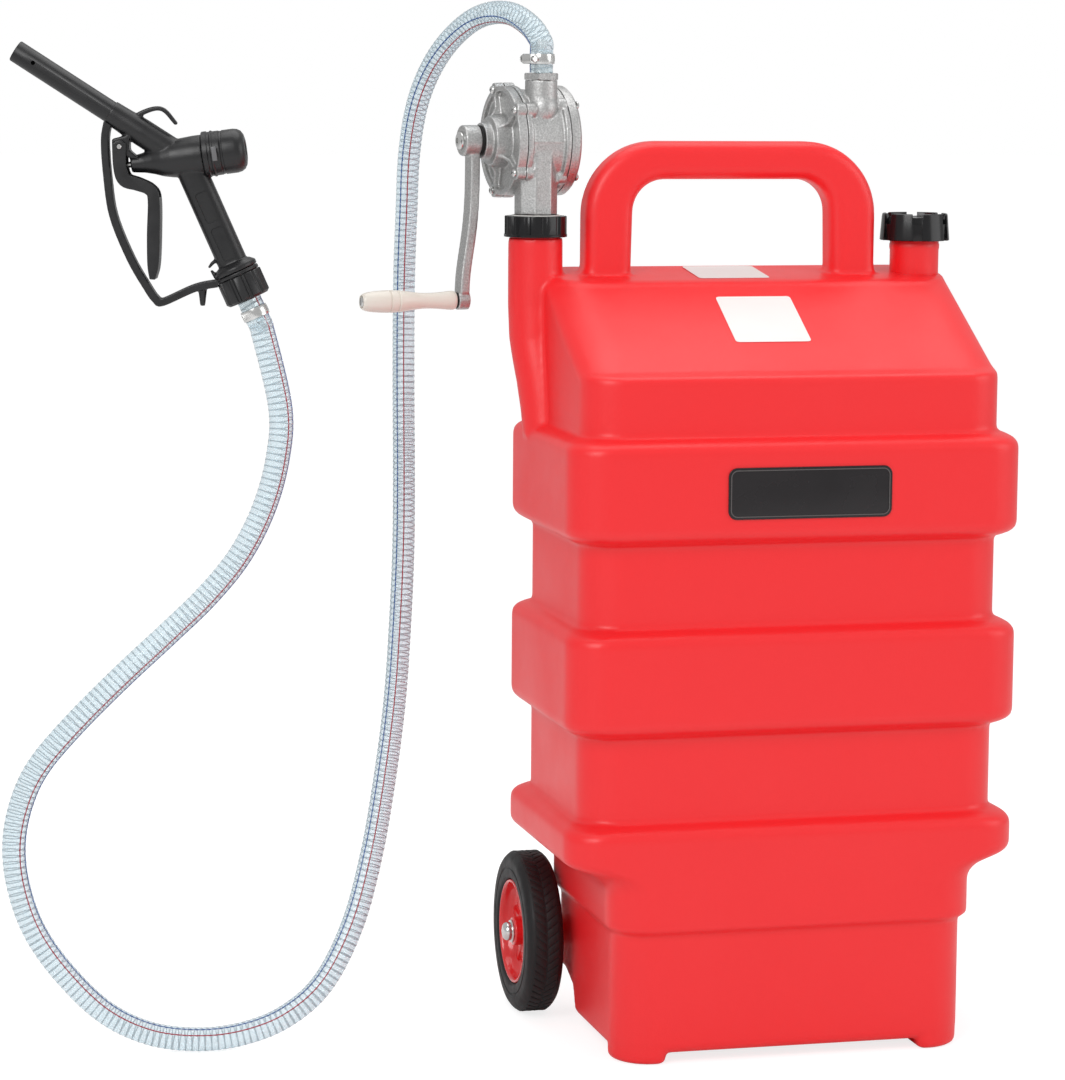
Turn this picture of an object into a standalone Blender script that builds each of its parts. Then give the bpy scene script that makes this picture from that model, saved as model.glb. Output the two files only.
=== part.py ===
# Fuel caddy: a two-wheeled plastic tank with a crank pump, a clear hose and a trigger nozzle.
# Lengths are in metres, angles in degrees. X runs along the wide face, Y from front to back, Z up.
# The tank's centre plane is X = 0, its mid depth is Y = 0 and the floor is Z = 0 until the last step,
# which moves the whole caddy so that the origin lies on the floor under the middle of its box.

import bpy
import bmesh
from math import acos, atan2, cos, degrees, hypot, pi, radians, sin
from mathutils import Vector

# Clearances shared by all pieces
seat_gap = 0.0003
run_gap = 0.0006
overrun = 0.002

# Carry handle, and the room beside it for the two necks and for the tank's shoulders
handle_width = 0.280
handle_centre = -0.0125
fill_neck_room = 0.0435
pump_neck_room = 0.0445
shoulder_room = 0.071

# Tank body
tank_width = handle_width + 2 * shoulder_room
tank_depth = 0.262
tank_wall = 0.004
corner_radius = 0.036
rib_proud = 0.0156
rib_edge = 0.014
underside_height = 0.014
bottom_edge = 0.012
lower_inset = 0.046
lower_width = tank_width - 2 * lower_inset
lower_proud = 0.006
step_height = 0.121
step_edge = 0.003
low_rib_foot = 0.155
low_rib_full = 0.187
low_rib_top = 0.220
low_band = 0.076
middle_rib_bottom = low_rib_top + low_band
middle_rib_height = 0.099
middle_rib_top = middle_rib_bottom + middle_rib_height
upper_band = 0.073
upper_rib_bottom = middle_rib_top + upper_band
upper_rib_height = 0.097
upper_rib_top = upper_rib_bottom + upper_rib_height
shoulder_band = 0.048
slope_foot_height = upper_rib_top + shoulder_band
slope_edge = 0.008
slope_rise = 0.081
deck_height = slope_foot_height + slope_rise
deck_front = 0.034
deck_rise = 0.009
deck_edge = 0.007
arc_steps = 4
hollow_steps = 2

# Sides of round pieces, from the widest to the slimmest
round_cap = 24
round_large = 20
round_medium = 16
round_small = 12
round_peg = 14
round_fine = 10
round_tiny = 6

# Rounded edge of a rib, as shares of its height and of how far it stands out
edge_shares = ((0.0, 0.0), (0.34, 0.66), (1.0, 1.0))
plain_shares = ((0.0, 0.0), (1.0, 1.0))
bottom_edge_shares = ((0, 1), (0.29, 0.29), (1, 0))
low_rib_shares = ((0.0, 0.0), (0.28, 0.06), (0.50, 0.30), (0.70, 0.72), (0.86, 0.95), (1.0, 1.0))
plain_low_shares = ((0.0, 0.0), (0.36, 0.0), (1.0, 1.0))

# Cut-away under the back of the tank, where the axle crosses
notch_start = 0.030
notch_rise = 0.022
notch_run = 0.012
notch_slope_run = 0.026
notch_slope_rise = 0.010

# Front feet
foot_width = 0.042
foot_depth = 0.040
foot_inset = 0.029
foot_edge = 0.009
foot_sink = 0.016

# Necks
neck_radius = 0.0229
neck_bore = 0.0182
neck_rise = 0.048
neck_top = deck_height + neck_rise
neck_root = 0.012
bead_proud = 0.0009
bead_drop = 0.020
bead_height = neck_top - bead_drop
bead_half = 0.0016
fill_neck_x = handle_centre + handle_width / 2 + fill_neck_room
pump_neck_x = handle_centre - handle_width / 2 - pump_neck_room
neck_y = 0.075
neck_sides = 18

# Column that carries the pump neck and leans back into the tank below it
column_radius = 0.0252
column_lean = ((0.018, 0.0, 0.0), (-0.054, 0.001, -0.004), (-0.094, 0.008, -0.014),
               (-0.142, 0.018, -0.026))

# Bars of the carry handle
handle_rise = 0.126
handle_top = deck_height + handle_rise
handle_leg = 0.045
handle_bar = 0.035
handle_thickness = 0.038
handle_outer_corner = 0.068
handle_inner_corner = 0.030
handle_edge = 0.011
handle_sink = 0.012

# Wheels and axle
wheel_radius = 0.076
wheel_width = 0.0355
wheel_outer_x = tank_width / 2
wheel_y = 0.0985
tyre_inner = 0.049
tyre_shoulder = 0.008
tyre_crown = 0.0025
tyre_crown_share = 1.6
rim_flange = 0.0035
rim_edge_share = 0.6
rim_bend_share = 0.55
hub_radius = 0.0135
hub_half = 0.0155
dish_radius = 0.038
web_thickness = 0.0032
spoke_count = 5
spoke_width = 0.0125
spoke_depth_share = 2.6
spoke_rise_share = 0.6
axle_radius = 0.0055
axle_tunnel = 0.0062
axle_nut_radius = 0.0105
axle_nut_thickness = 0.0065
axle_nut_dome = 0.003
axle_nut_shares = ((0, 1), (0.45, 0.85), (0.8, 0.3), (0.95, 0))
wheel_sides = 24

# Fill cap
cap_top_radius = 0.0306
cap_foot_radius = 0.0323
cap_skirt = 0.0142
cap_foot = neck_top - cap_skirt
cap_head = 0.0110
cap_top = neck_top + cap_head
cap_recess = 0.0030
cap_deck = cap_top - cap_recess
cap_rim = 0.0030
cap_wall = 0.0030
cap_lobes = 6
cap_notch_width = 0.0105
cap_notch_depth = 0.0028
gasket_thickness = 0.0020

# Union nut, its slip washer and the gasket under the pump
nut_radius = 0.0288
nut_skirt = 0.0095
nut_foot = neck_top - nut_skirt
nut_head = 0.0096
nut_top = neck_top + nut_head
nut_ribs = 12
nut_rib_depth = 0.0012
nut_rib_shares = ((0.0, 1), (0.42, 1), (0.56, 0), (0.86, 0))
nut_hole = 0.0204
nut_bore = 0.0234
slip_washer_thickness = 0.0010
pump_flange_thickness = 0.0030
pump_flange_radius = 0.0218

# Pump: the frame turns about the neck, the barrel's axis lies behind it
pump_yaw = 8.4
axis_back = 0.028
axis_rise = 0.0775
axis_height = neck_top + axis_rise
barrel_radius = 0.047
barrel_front = 0.016
barrel_back = 0.0265
flange_radius = 0.0505
flange_thickness = 0.005
chamber_radius = 0.040
chamber_offset = 0.004
rotor_radius = 0.033
vane_thickness = 0.005
vane_proud = 0.0022
vane_depth = 0.014
shaft_radius = 0.007
lug_count = 5
back_screw_count = 4
lug_radius = 0.0068
lug_circle = 0.0485
back_screw_circle = 0.0460
lug_first_angle = 36.0
screw_radius = 0.0020
screw_clearance = 0.0003
screw_head_radius = 0.0038
screw_head_height = 0.0028
head_flat_share = 0.7
screw_reach = 0.0035
cover_rim = 0.009
cover_web = 0.004
cover_rim_width = 0.005
cover_rib_width = 0.0028
cover_rib_height = 0.0052
boss_radius = 0.0225
boss_reach = 0.020
nose_radius = 0.0165
nose_reach = 0.028
back_cover_thickness = 0.010
back_cover_dish = 0.004
back_cover_dish_radius = 0.034
bearing_depth = 0.006
column_across = 0.0366
column_clear = 0.0103
column_foot = neck_top + column_clear
column_merge = 0.006
port_bore = 0.0090
outlet_shift = 0.0045
outlet_radius = 0.0146
outlet_rise = 0.0555
outlet_top = axis_height + outlet_rise
spigot_bore = 0.0094
spigot_depth = 0.010
seal_thickness = 0.0020
seal_radius = 0.0140
pump_sides = 24

# Crank
hub_start = 0.0468
hub_end = 0.063
crank_hub_radius = 0.0142
crank_radius = 0.146
arm_width = 0.017
arm_thickness = 0.0095
arm_sway_shares = ((0.0, 0.0), (0.25, 0.02), (0.45, 0.12), (0.62, 0.42), (0.80, 0.86), (1.0, 1.0))
arm_first = 0.0515
arm_last = 0.0612
eye_radius = 0.0086
eye_half = 0.0055
crank_screw_radius = 0.0062
crank_screw_head = 0.0034
crank_screw_shank = 0.0028
crank_screw_flat_share = 0.8
crank_screw_depth = 0.012
grip_length = 0.091
grip_bolt_radius = 0.0030
grip_bolt_head = 0.0050
grip_bolt_head_height = 0.0022
grip_recess = 0.0016
grip_washer = 0.0012
grip_washer_share = 0.86
grip_radii_shares = ((0.0, 0.80), (0.03, 0.84), (0.12, 0.78), (0.30, 0.70), (0.45, 0.80), (0.58, 0.97),
                     (0.66, 1.0), (0.80, 0.98), (0.92, 0.88), (0.98, 0.76), (1.0, 0.66))
grip_radius = 0.0103

# Suction tube and its strainer
suction_radius = 0.0080
suction_bore = 0.0058
suction_foot = 0.062
suction_height_shares = (1.0095, 0.9462, 0.875, 0.7959, 0.7089, 0.6139, 0.519, 0.4082, 0.2184, 0.0)
suction_lean = ((0.0, 0.0), (0.0015, -0.002), (0.009, -0.011), (0.021, -0.025), (0.037, -0.041),
                (0.050, -0.057), (0.059, -0.069), (0.063, -0.075), (0.063, -0.075), (0.063, -0.075))
strainer_radius = 0.0115
strainer_height = 0.030
strainer_slots = 8
strainer_slot_width = 0.0022

# Outlet fitting on the pump
fitting_hex = 0.0290
fitting_hex_height = 0.0062
barb_radius = 0.0066
barb_length = 0.019
barb_step = 0.0004
fitting_bore = 0.0050

# Hose
hose_radius = 0.0108
hose_rib_depth = 0.0005
hose_bore = 0.0082
hose_ribs = 54
hose_bore_turn = 10
hose_bore_reach = 0.062
hose_straight = 0.0216
hose_smoothing = 8
hose_end_shares = (0, 0.5, 1.0, 1.25)

# Hose clamps
clamp_width = 0.009
clamp_thickness = 0.0009
clamp_housing = 0.0075
clamp_housing_length = 0.012
clamp_screw = 0.0024
clamp_screw_head = 0.0036
clamp_screw_length = 0.015
clamp_screw_head_height = 0.003
clamp_stand = 0.0125

# Nozzle: a plane frame whose X points to the valve cap and Z up, turned from the tank's X axis
nozzle_yaw = -14.13
nozzle_place = (-0.4838, -0.0080, 0.6912)
grip_tilt = 24.0
barrel_tilt = 8.0
spout_tilt = -32.5
barrel_axis_point = (-0.0966, 0.1087)
barrel_length = 0.064
barrel_nose_radius = 0.0072
barrel_full_radius = 0.0178
barrel_shares = ((1.0, 0.9), (0.93, 0.6))
barrel_nose_share = 1.35
collar_radius = 0.0202
collar_length = 0.0155
collar_shares = (0.55, 0.35, 0.22)
collar_tab_share = 0.7
cap_radius_rear = 0.0193
cap_length = 0.0215
cap_rounding = 0.006
cap_flat_share = 0.45
cap_round_share = 0.35
tab_size = (0.0042, 0.0030, 0.0125)
handgrip_top = (-0.0418, 0.0995)
handgrip_length = 0.0915
handgrip_root = 0.010
handgrip_width = 0.0262
handgrip_thickness = 0.0230
handgrip_corner_share = 0.42
spout_radius = 0.0098
spout_bore = 0.0078
spout_length = 0.150
spout_root = (-0.0706, 0.1263)
sleeve_radius = 0.0122
sleeve_length = 0.052
spout_plug = 0.012
spout_passage_length = 0.026
spout_passage_share = 0.72
inlet_nut_radius = 0.0205
inlet_nut_length = 0.0225
inlet_nut_ribs = 11
inlet_nut_rib_depth = 0.0014
inlet_flange_radius = 0.0195
inlet_flange_thickness = 0.0045
barb_flange_share = 0.7
guard_thickness = 0.0070
guard_width = 0.0140
guard_ring_thickness = 0.0035
guard_points = ((-0.1195, 0.1330), (-0.1172, 0.0989), (-0.1121, 0.0640), (-0.0975, 0.0274),
                (-0.0830, 0.0020), (-0.0752, -0.0090), (-0.0687, -0.0111), (-0.0404, 0.0015),
                (-0.0170, 0.0062))
peg_place = (-0.0345, 0.0020)
peg_length = 0.0165
peg_root_radius = 0.0042
peg_tip_radius = 0.0022
trigger_pivot = (-0.1060, 0.1245)
trigger_points = ((-0.1060, 0.1275), (-0.1055, 0.1069), (-0.1014, 0.0956), (-0.0905, 0.0922),
                  (-0.0796, 0.0880), (-0.0761, 0.0783), (-0.0765, 0.0480), (-0.0770, 0.0215),
                  (-0.0776, 0.0088))
trigger_thickness_shares = (1.08, 1.0, 1.05, 1.0, 1.0, 1.0, 0.98, 0.85, 0.42)
trigger_thickness = 0.0115
trigger_width = 0.0240
trigger_lobe_share = 0.54
trigger_cheek = 0.0024
trigger_back_wall = 0.0035
trigger_channel_points = 6
trigger_open_low = 0.1152
trigger_swing = 18.0
pin_radius = 0.0022
ear_width = 0.0186
ear_radius = 0.0066
ear_corner_share = 0.7
ear_top_share = 1.6
hook_points = ((-0.1040, 0.1470), (-0.0862, 0.1540), (-0.0696, 0.1572), (-0.0565, 0.1438))
hook_thickness = 0.0050
hook_tip_share = 0.5
hook_width = 0.0090
stem_radius = 0.0026
stem_reach = 0.0108
stem_head = 0.0035
valve_disc_radius = 0.0110
valve_disc_thickness = 0.0045
valve_chamber_radius = 0.0138
valve_chamber_depth = 0.030
stem_travel_ratio = 0.0194
spring_radius = 0.0070
spring_wire = 0.0007
spring_turns = 5
spring_points = 8
valve_guide_radius = 0.0050
grip_bore = 0.0075
catch_points = (((-0.0215, 0.0268), (-0.0262, 0.0225), (-0.0290, 0.0188)),
                ((-0.0222, 0.0095), (-0.0246, 0.0136), (-0.0270, 0.0168)))
catch_thickness = 0.0032
catch_tip_share = 0.5
catch_width = 0.0070

# Plates and stickers
badge_width = 0.152
badge_height = 0.046
badge_corner = 0.008
badge_drop = 0.001
badge_height_above_floor = (upper_rib_bottom + upper_rib_top) / 2 - badge_drop
badge_offset = 0.004
badge_thickness = 0.0012
slope_sticker_share = 0.60
sticker_thickness = 0.0004
slope_sticker_size = (0.071, 0.076)
deck_sticker_size = (0.068, 0.060)
sticker_corner = 0.003
slope_sticker_x = -0.009
deck_sticker_x = -0.015

# Route of the free hose, from above the pump, behind the crank's reach, to the floor and up to the grip
hose_route = (
    (-0.1990, 0.0900, 0.9235), (-0.2090, 0.1220, 0.9350), (-0.2210, 0.1580, 0.9360),
    (-0.2340, 0.1920, 0.9270), (-0.2480, 0.2270, 0.9060), (-0.2590, 0.2550, 0.8780),
    (-0.2665, 0.2740, 0.8440), (-0.2700, 0.2880, 0.8000), (-0.2710, 0.2940, 0.7460),
    (-0.2730, 0.2940, 0.6880), (-0.2750, 0.2870, 0.6270), (-0.2780, 0.2720, 0.5650),
    (-0.2830, 0.2460, 0.4990), (-0.2910, 0.2100, 0.4320), (-0.3020, 0.1720, 0.3650),
    (-0.3150, 0.1350, 0.2950), (-0.3320, 0.1000, 0.2260), (-0.3510, 0.0680, 0.1620),
    (-0.3740, 0.0420, 0.1030), (-0.4050, 0.0240, 0.0545), (-0.4420, 0.0140, 0.0275),
    (-0.4830, 0.0110, 0.0145), (-0.5240, 0.0120, 0.0118), (-0.5660, 0.0170, 0.0185),
    (-0.6050, 0.0240, 0.0385), (-0.6400, 0.0300, 0.0740), (-0.6660, 0.0340, 0.1130),
    (-0.6800, 0.0350, 0.1540), (-0.6840, 0.0340, 0.1930), (-0.6780, 0.0300, 0.2300),
    (-0.6630, 0.0240, 0.2650), (-0.6330, 0.0150, 0.3030), (-0.5910, 0.0050, 0.3470),
    (-0.5500, -0.0020, 0.3860), (-0.5150, -0.0060, 0.4200), (-0.4860, -0.0090, 0.4560),
    (-0.4650, -0.0120, 0.4980), (-0.4530, -0.0140, 0.5430), (-0.4510, -0.0150, 0.5880))


def new_collection(name):
    """A collection under the scene's own."""
    made = bpy.data.collections.new(name)
    bpy.context.scene.collection.children.link(made)
    return made


def clear_scene():
    """Take away whatever the scene holds."""
    for thing in list(bpy.data.objects):
        bpy.data.objects.remove(thing, do_unlink=True)


clear_scene()
caddy = new_collection("fuel_caddy")
cutters = new_collection("cutters")


def material(name, colour, roughness, metallic=0):
    """A plain finish for one sort of piece."""
    made = bpy.data.materials.new(name)
    made.use_nodes = True
    shader = made.node_tree.nodes["Principled BSDF"]
    shader.inputs["Base Color"].default_value = (*colour, 1)
    shader.inputs["Roughness"].default_value = roughness
    shader.inputs["Metallic"].default_value = metallic
    made.diffuse_color = (*colour, 1)
    return made


red_plastic = material("red_plastic", (0.90, 0.045, 0.045), 0.45)
black_plastic = material("black_plastic", (0.016, 0.016, 0.018), 0.35)
nozzle_plastic = material("nozzle_plastic", (0.030, 0.031, 0.034), 0.50)
cast_metal = material("cast_metal", (0.55, 0.55, 0.55), 0.45, 1)
bright_steel = material("bright_steel", (0.66, 0.66, 0.66), 0.22, 1)
tyre_rubber = material("tyre_rubber", (0.020, 0.020, 0.020), 0.80)
seal_rubber = material("seal_rubber", (0.012, 0.012, 0.012), 0.60)
red_paint = material("red_paint", (0.72, 0.030, 0.030), 0.25)
cream_wood = material("cream_wood", (0.82, 0.69, 0.57), 0.40)
clear_hose = material("clear_hose", (0.72, 0.82, 0.86), 0.15)
white_nylon = material("white_nylon", (0.80, 0.79, 0.76), 0.40)
carbon_vane = material("carbon_vane", (0.10, 0.10, 0.10), 0.50)
badge_black = material("badge_black", (0.035, 0.030, 0.034), 0.35)
sticker_white = material("sticker_white", (0.86, 0.86, 0.84), 0.40)


def settle(thing, finish=None, parent=None, place=(0, 0, 0), turn=(0, 0, 0)):
    """Put a sub-part in the caddy's collection with its finish, parent, place and turn."""
    for holder in list(thing.users_collection):
        holder.objects.unlink(thing)
    caddy.objects.link(thing)
    if finish is not None:
        thing.data.materials.clear()
        thing.data.materials.append(finish)
    thing.parent = parent
    thing.location = place
    thing.rotation_euler = turn
    return thing


def hide_away(thing):
    """Make a cutter or guide of an object."""
    for holder in list(thing.users_collection):
        holder.objects.unlink(thing)
    cutters.objects.link(thing)
    thing.hide_render = True
    thing.display_type = "WIRE"
    return thing


def frame_empty(name, parent=None, place=(0, 0, 0), turn=(0, 0, 0)):
    """An empty that carries pieces."""
    made = bpy.data.objects.new(name, None)
    caddy.objects.link(made)
    made.parent = parent
    made.location = place
    made.rotation_euler = turn
    return made


def mesh_thing(name, points, edges, faces):
    """An object from points, edges and faces."""
    data = bpy.data.meshes.new(name)
    data.from_pydata(points, edges, faces)
    data.update()
    return bpy.data.objects.new(name, data)


def turned(name, profile, sides, ring=False):
    """Turn a profile of (radius, height) about Z. It runs down the outer side, and a ring's runs back up."""
    points = [(radius, 0, height) for radius, height in profile]
    edges = [(i, i + 1) for i in range(len(points) - 1)]
    if ring:
        edges.append((len(points) - 1, 0))
    made = mesh_thing(name, points, edges, [])
    screw = made.modifiers.new("turn", "SCREW")
    screw.axis = "Z"
    screw.steps = sides
    screw.render_steps = sides
    screw.use_merge_vertices = True
    screw.merge_threshold = 0.00001
    screw.use_normal_calculate = False
    screw.use_smooth_shade = True
    return made


def cylinder(name, radius, bottom, top, sides, top_radius=None):
    """A closed cylinder or cone along Z."""
    over = radius if top_radius is None else top_radius
    return turned(name, [(0, top), (over, top), (radius, bottom), (0, bottom)], sides)


def tube(name, outer, inner, bottom, top, sides):
    """A plain ring along Z."""
    return turned(name, [(outer, top), (outer, bottom), (inner, bottom), (inner, top)], sides, True)


def block(name, size, centre=(0, 0, 0)):
    """A box of a size about a centre."""
    data = bpy.data.meshes.new(name)
    shape = bmesh.new()
    bmesh.ops.create_cube(shape, size=1)
    bmesh.ops.scale(shape, vec=size, verts=shape.verts)
    bmesh.ops.translate(shape, vec=centre, verts=shape.verts)
    shape.to_mesh(data)
    shape.free()
    return bpy.data.objects.new(name, data)


def as_mesh(curve, name):
    """Make a closed mesh of a curve object and remove the curve."""
    bpy.context.scene.collection.objects.link(curve)
    bpy.context.view_layer.update()
    graph = bpy.context.evaluated_depsgraph_get()
    data = bpy.data.meshes.new_from_object(curve.evaluated_get(graph))
    shape = bmesh.new()
    shape.from_mesh(data)
    bmesh.ops.remove_doubles(shape, verts=shape.verts, dist=0.000001)
    bmesh.ops.recalc_face_normals(shape, faces=shape.faces)
    shape.to_mesh(data)
    shape.free()
    place = curve.matrix_world.copy()
    bpy.data.objects.remove(curve, do_unlink=True)
    data.name = name
    made = bpy.data.objects.new(name, data)
    made.matrix_world = place
    return made


def plate(name, outline, thickness):
    """A flat outline in XY, given thickness about Z."""
    curve = bpy.data.curves.new(name, "CURVE")
    curve.dimensions = "2D"
    curve.fill_mode = "BOTH"
    curve.extrude = thickness / 2
    line = curve.splines.new("POLY")
    line.points.add(len(outline) - 1)
    for point, (x, y) in zip(line.points, outline):
        point.co = (x, y, 0, 1)
    line.use_cyclic_u = True
    return as_mesh(bpy.data.objects.new(name, curve), name)


def rod(name, path, radius, resolution, radii=None):
    """A round rod or tube along a path, with filled ends."""
    curve = bpy.data.curves.new(name, "CURVE")
    curve.dimensions = "3D"
    curve.bevel_depth = radius
    curve.bevel_resolution = resolution
    curve.use_fill_caps = True
    line = curve.splines.new("POLY")
    line.points.add(len(path) - 1)
    for number, (point, spot) in enumerate(zip(line.points, path)):
        point.co = (*spot, 1)
        if radii:
            point.radius = radii[number] / radius
    return as_mesh(bpy.data.objects.new(name, curve), name)


def boolean(target, tool, operation):
    """Cut or join with another object, which becomes a cutter."""
    step = target.modifiers.new(tool.name, "BOOLEAN")
    step.operation = operation
    step.solver = "EXACT"
    step.object = hide_away(tool)
    return target


def cut(target, tool):
    return boolean(target, tool, "DIFFERENCE")


def join(target, tool):
    return boolean(target, tool, "UNION")


def carried(tool, carrier, place=(0, 0, 0), turn=(0, 0, 0)):
    """Place a cutter in the frame of the piece or empty that carries it."""
    tool.parent = carrier
    tool.location = place
    tool.rotation_euler = turn
    return tool


def soften(thing, width, segments=2, angle=30):
    """Round the sharp edges."""
    step = thing.modifiers.new("edges", "BEVEL")
    step.width = width
    step.segments = segments
    step.limit_method = "ANGLE"
    step.angle_limit = radians(angle)
    return thing


def rounded_outline(width, height, corner, steps):
    """A rounded rectangle about the origin, anticlockwise."""
    outline = []
    centres = ((1, 1, 0), (-1, 1, 90), (-1, -1, 180), (1, -1, 270))
    for side_x, side_y, start in centres:
        for step in range(steps + 1):
            angle = radians(start + 90 * step / steps)
            x = side_x * (width / 2 - corner) + corner * cos(angle)
            y = side_y * (height / 2 - corner) + corner * sin(angle)
            outline.append((x, y))
    return outline


def strip(path, widths):
    """The outline of a band of given widths along a plane path."""
    left = []
    right = []
    for number, (x, y) in enumerate(path):
        before = path[max(number - 1, 0)]
        after = path[min(number + 1, len(path) - 1)]
        run = hypot(after[0] - before[0], after[1] - before[1])
        across_x = -(after[1] - before[1]) / run * widths[number] / 2
        across_y = (after[0] - before[0]) / run * widths[number] / 2
        left.append((x + across_x, y + across_y))
        right.append((x - across_x, y - across_y))
    return left + right[::-1]


def shifted(path, distance):
    """A plane path moved sideways, to its left as it runs."""
    outline = strip(path, [2 * distance] * len(path))
    return outline[:len(path)]


def smooth_path(points, pieces):
    """Points on a Catmull-Rom curve through the given points."""
    spots = [Vector(point) for point in points]
    padded = [2 * spots[0] - spots[1]] + spots + [2 * spots[-1] - spots[-2]]
    found = []
    for number in range(1, len(padded) - 2):
        a, b, c, d = padded[number - 1:number + 3]
        for piece in range(pieces):
            t = piece / pieces
            found.append(0.5 * (2 * b + (c - a) * t + (2 * a - 5 * b + 4 * c - d) * t * t
                                + (3 * b - a - 3 * c + d) * t * t * t))
    found.append(spots[-1])
    return found


def even_path(points, count):
    """The same path with points at equal steps."""
    reach = [0]
    for first, second in zip(points, points[1:]):
        reach.append(reach[-1] + (second - first).length)
    found = []
    number = 0
    for step in range(count):
        goal = reach[-1] * step / (count - 1)
        while number < len(points) - 2 and reach[number + 1] < goal:
            number += 1
        span = reach[number + 1] - reach[number]
        found.append(points[number].lerp(points[number + 1], (goal - reach[number]) / span))
    return found


def sparse_path(points, turn, reach):
    """The points of a path that are left when it turns or runs less than given between them."""
    found = [points[0], points[1]]
    bend = 0
    for number in range(2, len(points) - 2):
        before = points[number] - points[number - 1]
        after = points[number + 1] - points[number]
        bend += degrees(before.angle(after))
        if bend > turn or (points[number] - found[-1]).length > reach:
            found.append(points[number])
            bend = 0
    return found + [points[-2], points[-1]]


def path_length(points):
    return sum((second - first).length for first, second in zip(points, points[1:]))


def section(height, half_width, front, back, corner, rise=0, steps=arc_steps):
    """A rounded level section of the tank, whose height may rise to the back."""
    points = []
    centres = ((1, 1, 0), (-1, 1, 90), (-1, -1, 180), (1, -1, 270))
    for side_x, side_y, start in centres:
        centre_x = side_x * (half_width - corner)
        centre_y = back - corner if side_y > 0 else front + corner
        for step in range(steps + 1):
            angle = radians(start + 90 * step / steps)
            x = centre_x + corner * cos(angle)
            y = centre_y + corner * sin(angle)
            points.append((x, y, height + rise * (y - front) / (back - front)))
    return points


def loft(name, rings):
    """A closed skin through rings of equal counts, from the lowest to the highest."""
    points = [point for ring in rings for point in ring]
    count = len(rings[0])
    faces = []
    for level in range(len(rings) - 1):
        for number in range(count):
            after = (number + 1) % count
            low = level * count
            high = low + count
            faces.append((low + number, low + after, high + after, high + number))
    faces.append(tuple(range(count - 1, -1, -1)))
    faces.append(tuple(range(len(points) - count, len(points))))
    return mesh_thing(name, points, [], faces)


def tank_rings(inset):
    """Level sections of the tank from its underside to its deck, drawn in by a wall."""
    full = tank_width / 2
    deep = tank_depth / 2
    waist = full - rib_proud
    waist_deep = deep - rib_proud
    low = lower_width / 2
    rings = []
    steps = hollow_steps if inset else arc_steps
    rib_shares = plain_shares if inset else edge_shares
    foot_shares = plain_low_shares if inset else low_rib_shares

    def add(height, half_width, front, back, rise=0, rounding=corner_radius):
        rings.append(section(height, half_width - inset, -front + inset, back - inset, rounding - inset,
                             rise, steps))

    low_front = deep - lower_proud
    low_back = waist_deep
    floor = underside_height + inset
    for rise_share, in_share in bottom_edge_shares:
        shrink = bottom_edge * in_share
        add(floor + bottom_edge * rise_share, low - shrink, low_front - shrink, low_back - shrink)
    add(step_height - step_edge, low, low_front, low_back)
    add(step_height + step_edge, low + lower_proud, deep, low_back + lower_proud)
    for height_share, out_share in foot_shares:
        height = low_rib_foot + (low_rib_full - low_rib_foot) * height_share
        wide = low + lower_proud + (full - low - lower_proud) * out_share
        add(height, wide, deep, low_back + lower_proud + (deep - low_back - lower_proud) * out_share)
    for bottom, top in ((None, low_rib_top), (middle_rib_bottom, middle_rib_top),
                        (upper_rib_bottom, upper_rib_top)):
        if bottom is not None:
            for height_share, out_share in rib_shares:
                out = rib_proud * out_share
                add(bottom + rib_edge * height_share, waist + out, waist_deep + out, waist_deep + out)
        for height_share, out_share in reversed(rib_shares):
            out = rib_proud * out_share
            add(top - rib_edge * height_share, waist + out, waist_deep + out, waist_deep + out)
    drop = inset
    foot = slope_foot_height - drop
    run = deck_front + waist_deep
    rise = deck_height - drop - foot
    add(foot, waist, waist_deep, waist_deep)
    add(foot + slope_edge / 2, waist, waist_deep - slope_edge / 4, waist_deep)
    start = slope_edge / rise
    add(foot + slope_edge, waist, waist_deep - run * start, waist_deep)
    deck_rounding = min(corner_radius, (waist_deep - deck_front) / 2 - deck_edge)
    near = 1 - deck_edge / rise
    mid = deck_edge / 3
    rings.append(section(foot + rise * near, waist - inset, -waist_deep + run * near + inset,
                         waist_deep - inset, deck_rounding + deck_edge - inset, deck_rise, steps))
    rings.append(section(foot + rise - mid, waist - mid - inset, -waist_deep + run - mid + inset,
                         waist_deep - mid - inset, deck_rounding + mid - inset, deck_rise, steps))
    rings.append(section(foot + rise, waist - deck_edge - inset, deck_front + mid + inset,
                         waist_deep - deck_edge - inset, deck_rounding - inset, deck_rise, steps))
    return rings


def column_rings(radius):
    """Round sections of the leaning column, from its foot to the neck."""
    rings = []
    for height, shift_x, shift_y in reversed(column_lean):
        ring = []
        for step in range(neck_sides):
            angle = 2 * pi * step / neck_sides
            x = pump_neck_x + shift_x + radius * cos(angle)
            y = neck_y + shift_y + radius * sin(angle)
            ring.append((x, y, deck_height + height))
        rings.append(ring)
    return rings


def notch_outline(grow):
    """Side view of the cut-away under the back, in Y and Z."""
    start = notch_start - grow
    base = underside_height
    return [(start, base - overrun - bottom_edge),
            (start, base + grow),
            (start + notch_run, base + notch_rise + grow),
            (start + notch_run + notch_slope_run, base + notch_rise + notch_slope_rise + grow),
            (tank_depth, base + notch_rise + 2 * notch_slope_rise + grow),
            (tank_depth, base - overrun - bottom_edge)]


def side_plate(name, outline, width, carrier=None, place=(0, 0, 0)):
    """A plate whose outline lies in Y and Z and whose thickness runs along X."""
    made = plate(name, outline, width)
    return carried(made, carrier, place, (radians(90), 0, radians(90)))


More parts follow.
